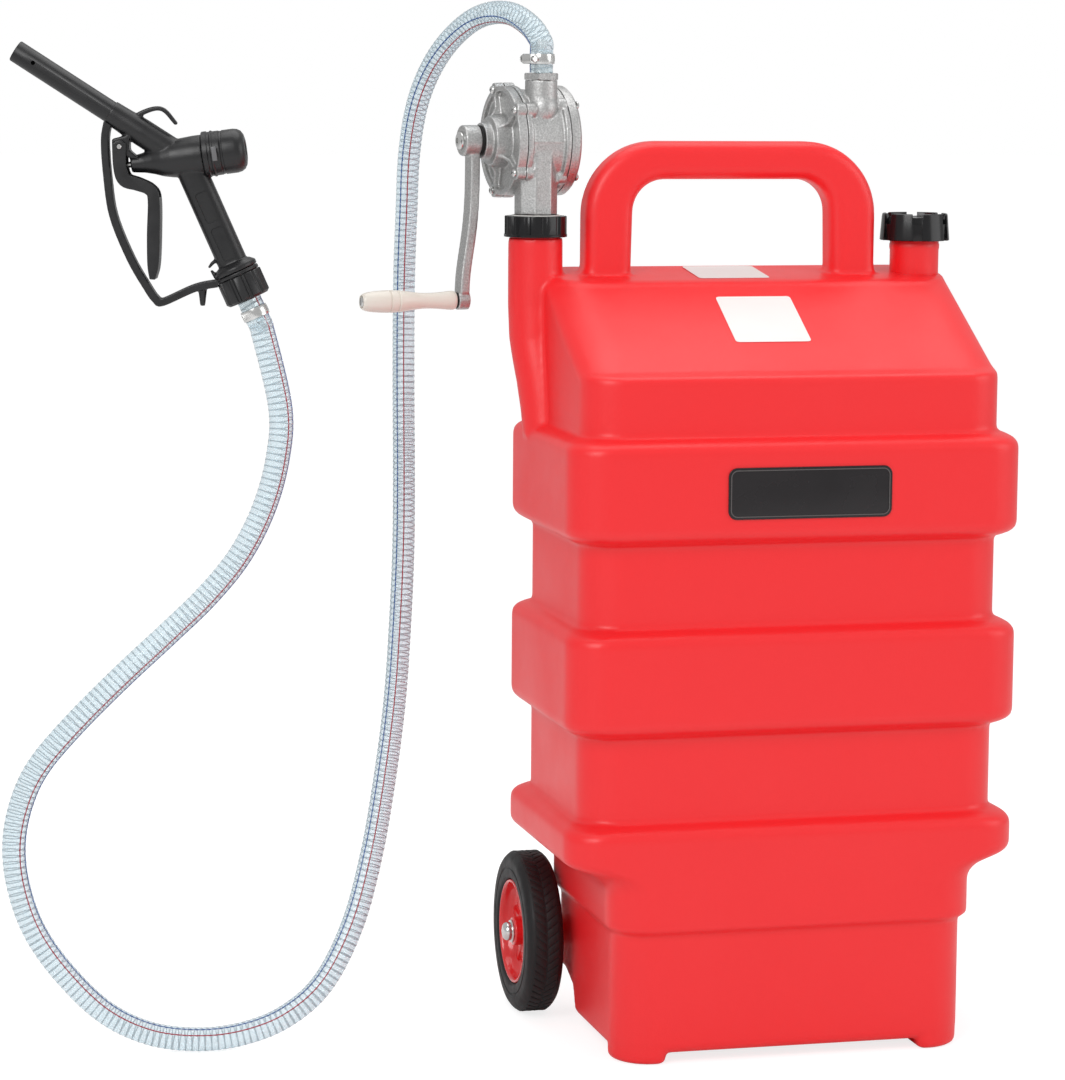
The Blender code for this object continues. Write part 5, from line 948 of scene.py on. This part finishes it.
def build_hose_clamp(name, place):
    """A worm-drive band with its teeth, housing and screw, about the frame's Z axis."""
    inner, outer, stand = 0.0111, 0.012, 0.0125
    band = lathe("band", [(inner, 0.0045), (outer, 0.0045), (outer, -0.0045), (inner, -0.0045)],
                 moved(0, 0, stand), ring=True)
    rounded(band, 0.0002, 2, 40)
    tooth = brick("tooth", (0.0005, 0.0007, 0.0052))
    band = with_ring(band, tooth, 44, outer, stand, skew=14)
    discard(tooth)
    worm = moved(outer + 0.0033, 0, stand) @ lying
    housing = rounded(prism("housing", rounded_outline(0.0078, 0.009, 0.0024, 5), 0.012, worm), 0.0004, 2, 40)
    carve(housing, drum("worm_hole", 0.0028, -0.02, 0.02, worm, 32))
    band = merged(name + "_look", [band, housing])
    dress(placed(band, place), "zinc_steel", smooth=30)
    screw = lathe(name + "_screw_look", [(0, 0.0091), (0.003, 0.0091), (0.0036, 0.0085), (0.0036, 0.0066),
                                         (0.0042, 0.0064), (0.0042, 0.0063), (0.0024, 0.0063), (0.0024, -0.0085),
                                         (0, -0.0085)], sides=32)
    carve(screw, brick("slot", (0.009, 0.0009, 0.003), moved(0, 0, 0.0095)))
    dress(placed(screw, place @ worm), "zinc_steel", smooth=30)


# Crank
hub_start = 0.0468
hub_end = 0.063
arm_first = 0.0515
arm_last = 0.0612
eye_half = 0.0055
grip_length = 0.091
grip_radius = 0.0103


def build_crank():
    """The cast arm with its hub and eye, the screw that holds it and the seal behind it."""
    hub = [(0, hub_end), (0.0128, hub_end), (0.0142, hub_end - 0.0014), (0.0142, hub_start + 0.0006),
           (0.0136, hub_start), (0, hub_start)]
    sway = ((0.0, 0.0), (0.2, 0.01), (0.36, 0.06), (0.5, 0.2), (0.62, 0.42), (0.74, 0.7), (0.84, 0.9),
            (0.92, 0.98), (1.0, 1.0))
    line = smooth_line([(-share * crank_radius, arm_first + (arm_last - arm_first) * out) for share, out in sway], 6)
    line = [(x, z) for x, z in line if -crank_radius + 0.004 < x < -0.006]
    bar = rounded(prism("bar", strip(line, [0.0095] * len(line)), 0.017, lying), 0.003, 4, 40)
    eye = moved(-crank_radius)
    arm = moulded("crank_arm_look", [lathe("hub", hub), bar, drum("eye", 0.0088, arm_last - eye_half,
                                                                  arm_last + eye_half, eye, 64)], fine(0.0008))
    carve(arm, drum("bore", shaft_space, hub_start - 0.002, hub_end + 0.002),
          drum("eye_hole", 0.0034, arm_last - 0.01, arm_last + 0.01, eye, 32))
    dress(placed(arm, pump_axis), "cast_aluminium", "crank", 50)
    seat = hub_end + 0.0003
    screw = lathe("crank_screw_look", [(0, seat + 0.0034), (0.0044, seat + 0.0034), (0.0068, seat + 0.0026),
                                       (0.008, seat + 0.0014), (0.0082, seat), (0.0028, seat),
                                       (0.0028, seat - 0.012), (0, seat - 0.012)], sides=64)
    carve(screw, prism("socket", circle(0.0029, 6), 0.004, moved(0, 0, seat + 0.0034)))
    dress(placed(screw, pump_axis), "zinc_steel", "crank", 30)
    seal = lathe("shaft_seal_look", [(0.0073, nose_top + 0.0003), (0.0136, nose_top + 0.0003),
                                     (0.014, nose_top + 0.0008), (0.014, nose_top + 0.0018),
                                     (0.0136, nose_top + 0.0023), (0.0073, nose_top + 0.0023)], pump_axis, 64, True)
    dress(seal, "seal_black", "crank", 40)


def build_grip():
    """The turned wooden grip with its two cut grooves, and its bolt."""
    start = arm_last + eye_half + 0.0018
    end = start + grip_length
    shares = ((0.0, 0.76), (0.02, 0.84), (0.06, 0.845), (0.12, 0.79), (0.21, 0.725), (0.3, 0.7), (0.38, 0.725),
              (0.45, 0.8), (0.52, 0.89), (0.58, 0.96), (0.66, 1.0), (0.74, 1.0), (0.8, 0.98), (0.87, 0.935),
              (0.92, 0.88), (0.955, 0.815), (0.98, 0.74), (1.0, 0.62))
    profile = []
    for along, radius in smooth_line([(share * grip_length, out * grip_radius) for share, out in shares], 14):
        dip = sum(max(0, 1 - ((along / grip_length - groove) / 0.0085) ** 2) for groove in (0.62, 0.71))
        profile.append((radius - 0.001 * dip, start + along))
    profile += [(0.0058, end), (0.0056, end - 0.0016), (0.0034, end - 0.0016), (0.0034, start)]
    dress(lathe("crank_grip_look", profile, crank_grip_axis, ring=True), "grip_cream", "crank_handgrip", 40)
    head, foot = end - 0.0013, arm_last - eye_half - 0.002
    bolt = lathe("grip_bolt_look", [(0, head + 0.0022), (0.0034, head + 0.0021), (0.0047, head + 0.0012),
                                    (0.005, head), (0.003, head), (0.003, foot), (0, foot)], sides=48)
    carve(bolt, brick("slot", (0.011, 0.0011, 0.002), moved(0, 0, head + 0.0022)))
    dress(placed(bolt, crank_grip_axis), "zinc_steel", "crank", 30)


# Nozzle
barrel_length = 0.064
collar_length = 0.0155
handgrip_length = 0.0915
sleeve_length = 0.052
spout_length = 0.15
spout_radius = 0.0098
part_gap = 0.0003
passage_radius = 0.0075
guard_ring = 0.0035
guard_points = ((-0.116, 0.148), (-0.119, 0.13), (-0.1172, 0.0989), (-0.1121, 0.064), (-0.0975, 0.0274),
                (-0.083, 0.002), (-0.0752, -0.009), (-0.0687, -0.0111), (-0.0404, 0.0015), (-0.017, 0.0062))
trigger_points = ((-0.106, 0.1275), (-0.1055, 0.1069), (-0.1014, 0.0956), (-0.0905, 0.0918), (-0.0799, 0.0871),
                  (-0.0761, 0.0783), (-0.0765, 0.048), (-0.077, 0.0215), (-0.0776, 0.0088))
trigger_shares = (1.08, 1.0, 1.05, 0.97, 0.86, 0.9, 0.98, 0.85, 0.42)
channel_points = 6
hook_points = ((-0.102, 0.143), (-0.0862, 0.154), (-0.0696, 0.1572), (-0.0565, 0.1438))
catch_points = (((-0.0215, 0.0268), (-0.0262, 0.0225), (-0.029, 0.0188)),
                ((-0.0222, 0.0095), (-0.0246, 0.0136), (-0.027, 0.0168)))


def side_on(name, outline, width, edge):
    """A plate whose outline lies in the nozzle's plane, with rounded edges."""
    return rounded(prism(name, outline, width, nozzle_frame @ lying), edge, 4, 40)


def build_nozzle_body():
    """The moulded body: barrel, hand grip with its recessed panels, sleeve, ear, hook and catches."""
    profile = [(0, barrel_length), (0.0178, barrel_length), (0.0178, barrel_length * 0.88),
               (0.0172, barrel_length * 0.72), (0.0162, barrel_length * 0.56), (0.014, barrel_length * 0.42),
               (0.011, barrel_length * 0.3), (0.0088, barrel_length * 0.18), (0.0076, 0.004), (0.007, 0),
               (0, 0)]
    shapes = [lathe("barrel", profile, barrel_axis)]
    tall = handgrip_length + 0.01
    hold = prism("hold", rounded_outline(0.0262, 0.023, 0.0097, 8), tall,
                 hand_grip_axis @ moved(0, 0, tall / 2 - 0.01))
    shapes.append(rounded(hold, 0.002, 3, 50))
    shapes.append(lathe("base", [(0, handgrip_length), (0.0193, handgrip_length), (0.0195, handgrip_length - 0.0012),
                                 (0.0195, handgrip_length - 0.004), (0.015, handgrip_length - 0.0078),
                                 (0, handgrip_length - 0.0078)], hand_grip_axis))
    shapes.append(lathe("sleeve", [(0, 0.012), (0.0122, 0.012), (0.0121, -0.02), (0.011, -sleeve_length + 0.01),
                                   (0.0107, -sleeve_length), (0, -sleeve_length)], spout_axis, 64))
    ear = 0.0066
    web = [(trigger_x - ear, trigger_z + ear), (trigger_x - ear, trigger_z), (trigger_x - 0.0046, trigger_z - 0.0046),
           (trigger_x, trigger_z - ear), (-0.0959, 0.1141), (-0.0886, 0.1141),
           (trigger_x + 0.0086, trigger_z - 0.0033), (trigger_x + 0.0086, trigger_z + 0.0106)]
    shapes.append(side_on("ear", web, 0.0186, 0.0014))
    line = smooth_line(hook_points, 6)
    hook = strip(line, [0.005 - 0.002 * number / len(line) for number in range(len(line))])
    shapes.append(side_on("hook", hook, 0.009, 0.0014))
    shapes += [side_on("catch", strip(points, (0.0032, 0.003, 0.0018)), 0.007, 0.0006) for points in catch_points]
    body = moulded("nozzle_body_look", shapes, fine(0.0009), 3, 0.6)
    for side in (-1, 1):
        for low, high in ((0.0155, 0.044), (0.049, 0.08)):
            carve(body, prism("panel", rounded_outline(0.0112, high - low, 0.0028, 5), 0.003,
                              hand_grip_axis @ moved(0, side * 0.0116, (low + high) / 2) @ lying))
    carve(body, drum("rear_space", 0.0206, barrel_length, barrel_length + 0.03, barrel_axis, 64),
          drum("chamber", 0.0138, barrel_length - 0.03, barrel_length + 0.002, barrel_axis, 64),
          drum("stem_hole", 0.0032, -0.004, barrel_length - 0.02, barrel_axis, 32),
          drum("pin_hole", 0.0026, -0.02, 0.02, trigger_pivot @ lying, 32),
          drum("passage", passage_radius, -0.005, handgrip_length + 0.002, hand_grip_axis, 32),
          drum("spout_socket", 0.0102, -sleeve_length - 0.002, 0, spout_axis, 64))
    dress(body, "matt_black", smooth=50)


def build_valve_end():
    """Spout, collar with its tab, and the rear cap."""
    mouth = [(0.0078, -spout_length + 0.0006), (0.0084, -spout_length), (0.0092, -spout_length),
             (spout_radius, -spout_length + 0.0008), (spout_radius, -0.0004), (0.0078, -0.0004)]
    spout = lathe("spout_look", mouth, spout_axis, ring=True)
    carve(spout, drum("hole", 0.0019, 0, 0.02, spout_axis @ moved(0, 0, -spout_length + 0.0196) @ lying, 24))
    dress(spout, "matt_black", smooth=40)
    start = barrel_length + part_gap
    end = start + collar_length
    ridge, crest, bore = 0.0194, 0.0202, 0.0138
    collar = lathe("collar_ring_look", [(bore, end), (ridge - 0.0006, end), (ridge, end - 0.0008),
                                        (ridge, start + 0.0098), (crest, start + 0.009), (crest, start + 0.0078),
                                        (ridge, start + 0.007), (ridge, start + 0.005), (crest, start + 0.0042),
                                        (crest, start + 0.0006), (crest - 0.0006, start), (bore, start)],
                   barrel_axis, ring=True)
    dress(collar, "matt_black")
    seat = end + part_gap
    top = seat + 0.0215
    cap = lathe("valve_cap_look", [(0, top - 0.0018), (0.0062, top - 0.0018), (0.0074, top - 0.0014),
                                   (0.0082, top - 0.0002), (0.01, top), (0.0136, top - 0.0008),
                                   (0.0168, top - 0.0028), (0.0186, top - 0.0058), (0.0193, top - 0.0095),
                                   (0.0193, seat + 0.0022), (0.0188, seat + 0.0018), (0.0188, seat + 0.0008),
                                   (0.0191, seat), (0.0091, seat), (0.0091, top - 0.006), (0, top - 0.006)],
                barrel_axis)
    dress(cap, "matt_black")
    tab = brick("collar_tab_look", (0.0042, 0.003, 0.0125), barrel_axis @ moved(
        0, -0.022, start + collar_length * 0.7) @ turned_about("Y", 90))
    dress(rounded(tab, 0.0006, 3), "tab_grey")


def build_trigger():
    """The lever with its two cheeks and its thumb-worn curve, and the pin through the ear."""
    thick, slot_foot = 0.0115, 0.1152
    points = [(x - trigger_x, z - trigger_z) for x, z in trigger_points]
    path = smooth_path([Vector((*point, share)) for point, share in zip(points, trigger_shares)], 5)
    outline = strip([(spot.x, spot.y) for spot in path], [spot.z * thick for spot in path])
    lever = rounded(prism("trigger_look", outline, 0.024, lying), 0.0022, 4, 40)
    lobe = rounded(drum("lobe", thick * 0.54, -0.012, 0.012, lying), 0.0016, 3, 40)
    carve(lever, lobe, operation="UNION")
    back_wall = strip(points[:channel_points], [0.007] * channel_points)[:channel_points]
    channel = strip(back_wall, [thick * share for share in trigger_shares[:channel_points]])
    carve(lever, prism("channel", channel, 0.0194, lying),
          brick("slot", (0.05, 0.0194, 0.0325), moved(0, 0, slot_foot - trigger_z + 0.01625)),
          drum("hole", 0.0025, -0.024, 0.024, lying, 32))
    dress(placed(lever, trigger_pivot), "matt_black", "trigger_lever")
    pin = lathe("trigger_pin_look", [(0, 0.0122), (0.0016, 0.0122), (0.0022, 0.0117), (0.0022, -0.0117),
                                     (0.0016, -0.0122), (0, -0.0122)], trigger_pivot @ lying, 32)
    dress(pin, "zinc_steel")


def build_guard():
    """The hand guard with its tapered peg and its ring under the hand grip."""
    line = smooth_line(guard_points, 6)
    bow = side_on("bow", strip(line, [0.007] * len(line)), 0.014, 0.002)
    ring_top = handgrip_length + part_gap
    ring = rounded(drum("ring", 0.0195, ring_top, ring_top + guard_ring, hand_grip_axis, 96), 0.0007, 3, 40)
    peg = drum("peg", 0.0022, -0.0165, 0, nozzle_frame @ moved(-0.0345, 0, 0.002), 32, 0.0042)
    guard = moulded("nozzle_guard_look", [bow, ring, peg], fine(0.0008), 3, 0.6)
    carve(guard, drum("grip_space", 0.0198, ring_top - 0.052, ring_top, hand_grip_axis, 64),
          drum("nut_space", 0.0212, ring_top + guard_ring, ring_top + 0.03, hand_grip_axis, 64),
          drum("bore", passage_radius, ring_top - 0.002, ring_top + 0.006, hand_grip_axis, 32),
          drum("sleeve_space", 0.0116, -0.104, 0.052, spout_axis, 64))
    dress(guard, "matt_black", smooth=50)


def build_inlet():
    """The ribbed inlet nut."""
    length = 0.0225
    seat = handgrip_length + part_gap + guard_ring + part_gap
    end = seat + length
    nut = prism("inlet_nut_look", ribbed_outline(0.0205, 0.002, 11), length, moved(0, 0, (seat + end) / 2))
    rounded(nut, 0.0007, 2, 40)
    limit = lathe("limit", [(0, end), (0.0178, end), (0.0207, end - 0.0026), (0.0207, seat + 0.001),
                            (0.0196, seat), (0, seat)])
    carve(nut, limit, operation="INTERSECT")
    carve(nut, drum("pocket", 0.014, seat - 0.002, seat + 0.0052),
          drum("hole", 0.0095, seat - 0.002, end + 0.002))
    return dress(placed(nut, hand_grip_axis), "matt_black", smooth=30)


# Blank badge plate
def build_badge():
    """A blank plate with a fine raised border."""
    place = tank_frame @ moved(0.004, -tank_depth / 2 - 0.0009, 0.5155) @ lying
    plate = rounded(prism("badge_plate_look", rounded_outline(0.152, 0.046, 0.008, 10), 0.001), 0.0004, 3, 40)
    lift = moved(0, 0, 0.0007)
    border = prism("badge_border", rounded_outline(0.148, 0.042, 0.0064, 10), 0.0006, lift)
    carve(border, prism("field", rounded_outline(0.1462, 0.0402, 0.0056, 10), 0.002, lift))
    dress(placed(plate, place), "badge_gloss")
    dress(placed(border, place), "badge_edge")


# Floor, backdrop and lights
def camera_mix(tree, output, share, plain, seen):
    """A plain shader, mixed by a share with one that shows where the camera looks, also through clear parts."""
    rays = tree.nodes.new("ShaderNodeLightPath").outputs
    looked = maths(tree, "MAXIMUM", rays["Is Camera Ray"], rays["Is Transmission Ray"])
    mix = add_node(tree, "ShaderNodeMixShader", {
        0: maths(tree, "MULTIPLY", looked, share), 1: plain.outputs[0], 2: seen.outputs[0]})
    add_node(tree, output, {0: mix.outputs[0]})


def build_studio():
    """A pale floor that keeps the shadow, a white surround and three soft lights."""
    white = (1, 1, 1, 1)
    world = bpy.data.worlds.new("studio")
    floor_paint = bpy.data.materials.new("floor_white")
    for owner in (world, floor_paint):
        owner.use_nodes = True
        owner.node_tree.nodes.clear()
    tree = world.node_tree
    camera_mix(tree, "ShaderNodeOutputWorld", 1.0,
               add_node(tree, "ShaderNodeBackground", {"Color": white, "Strength": 0.55}),
               add_node(tree, "ShaderNodeBackground", {"Color": white, "Strength": 1.0}))
    tree = floor_paint.node_tree
    camera_mix(tree, "ShaderNodeOutputMaterial", 0.55,
               add_node(tree, "ShaderNodeBsdfDiffuse", {"Color": (0.88, 0.88, 0.88, 1)}),
               add_node(tree, "ShaderNodeEmission", {"Color": white, "Strength": 1.44}))
    bpy.context.scene.world = world
    bpy.context.scene.view_settings.view_transform = "Standard"
    floor = solid("floor", [(-30, -30, 0), (30, -30, 0), (30, 30, 0), (-30, 30, 0)], [(0, 1, 2, 3)])
    floor.data.materials.append(floor_paint)
    target = tank_frame @ Vector((-0.1, 0, 0.42))
    for name, spot, size, power in (("key", (-2.4, -2.6, 2.6), 2.0, 62), ("fill", (2.8, -1.6, 1.6), 2.2, 26),
                                    ("top", (0.2, 0.4, 3.2), 2.4, 30)):
        data = bpy.data.lights.new(name, "AREA")
        data.size = size
        data.energy = power
        light = new_object(name, data)
        light.location = spot
        light.rotation_euler = (target - Vector(spot)).to_track_quat("-Z", "Y").to_euler()


# The whole caddy in its studio
hose, hose_centre, hose_length, hose_pieces = build_hose()
build_tank()
tread_bars = [tread_bar(lean) for lean in (tread_lean, -tread_lean)]
for wheel_side in wheel_frames:
    build_wheel(wheel_side, tread_bars)
discard(*tread_bars)
build_fill_cap()
build_union_nut()
build_pump_body()
build_covers()
build_cover_screws()
build_fitting()
build_hose_clamp("pump_hose_clamp", outlet_frame @ turned_about("Z", 200))
build_hose_clamp("nozzle_hose_clamp", inlet_frame @ turned_about("Z", 90))
build_crank()
build_grip()
build_nozzle_body()
build_valve_end()
build_trigger()
build_guard()
inlet_nut = build_inlet()
build_badge()
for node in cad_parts.values():
    for place in node.material_slots:
        place.material = slot_finishes[place.material.name.split(".")[0]]
build_studio()
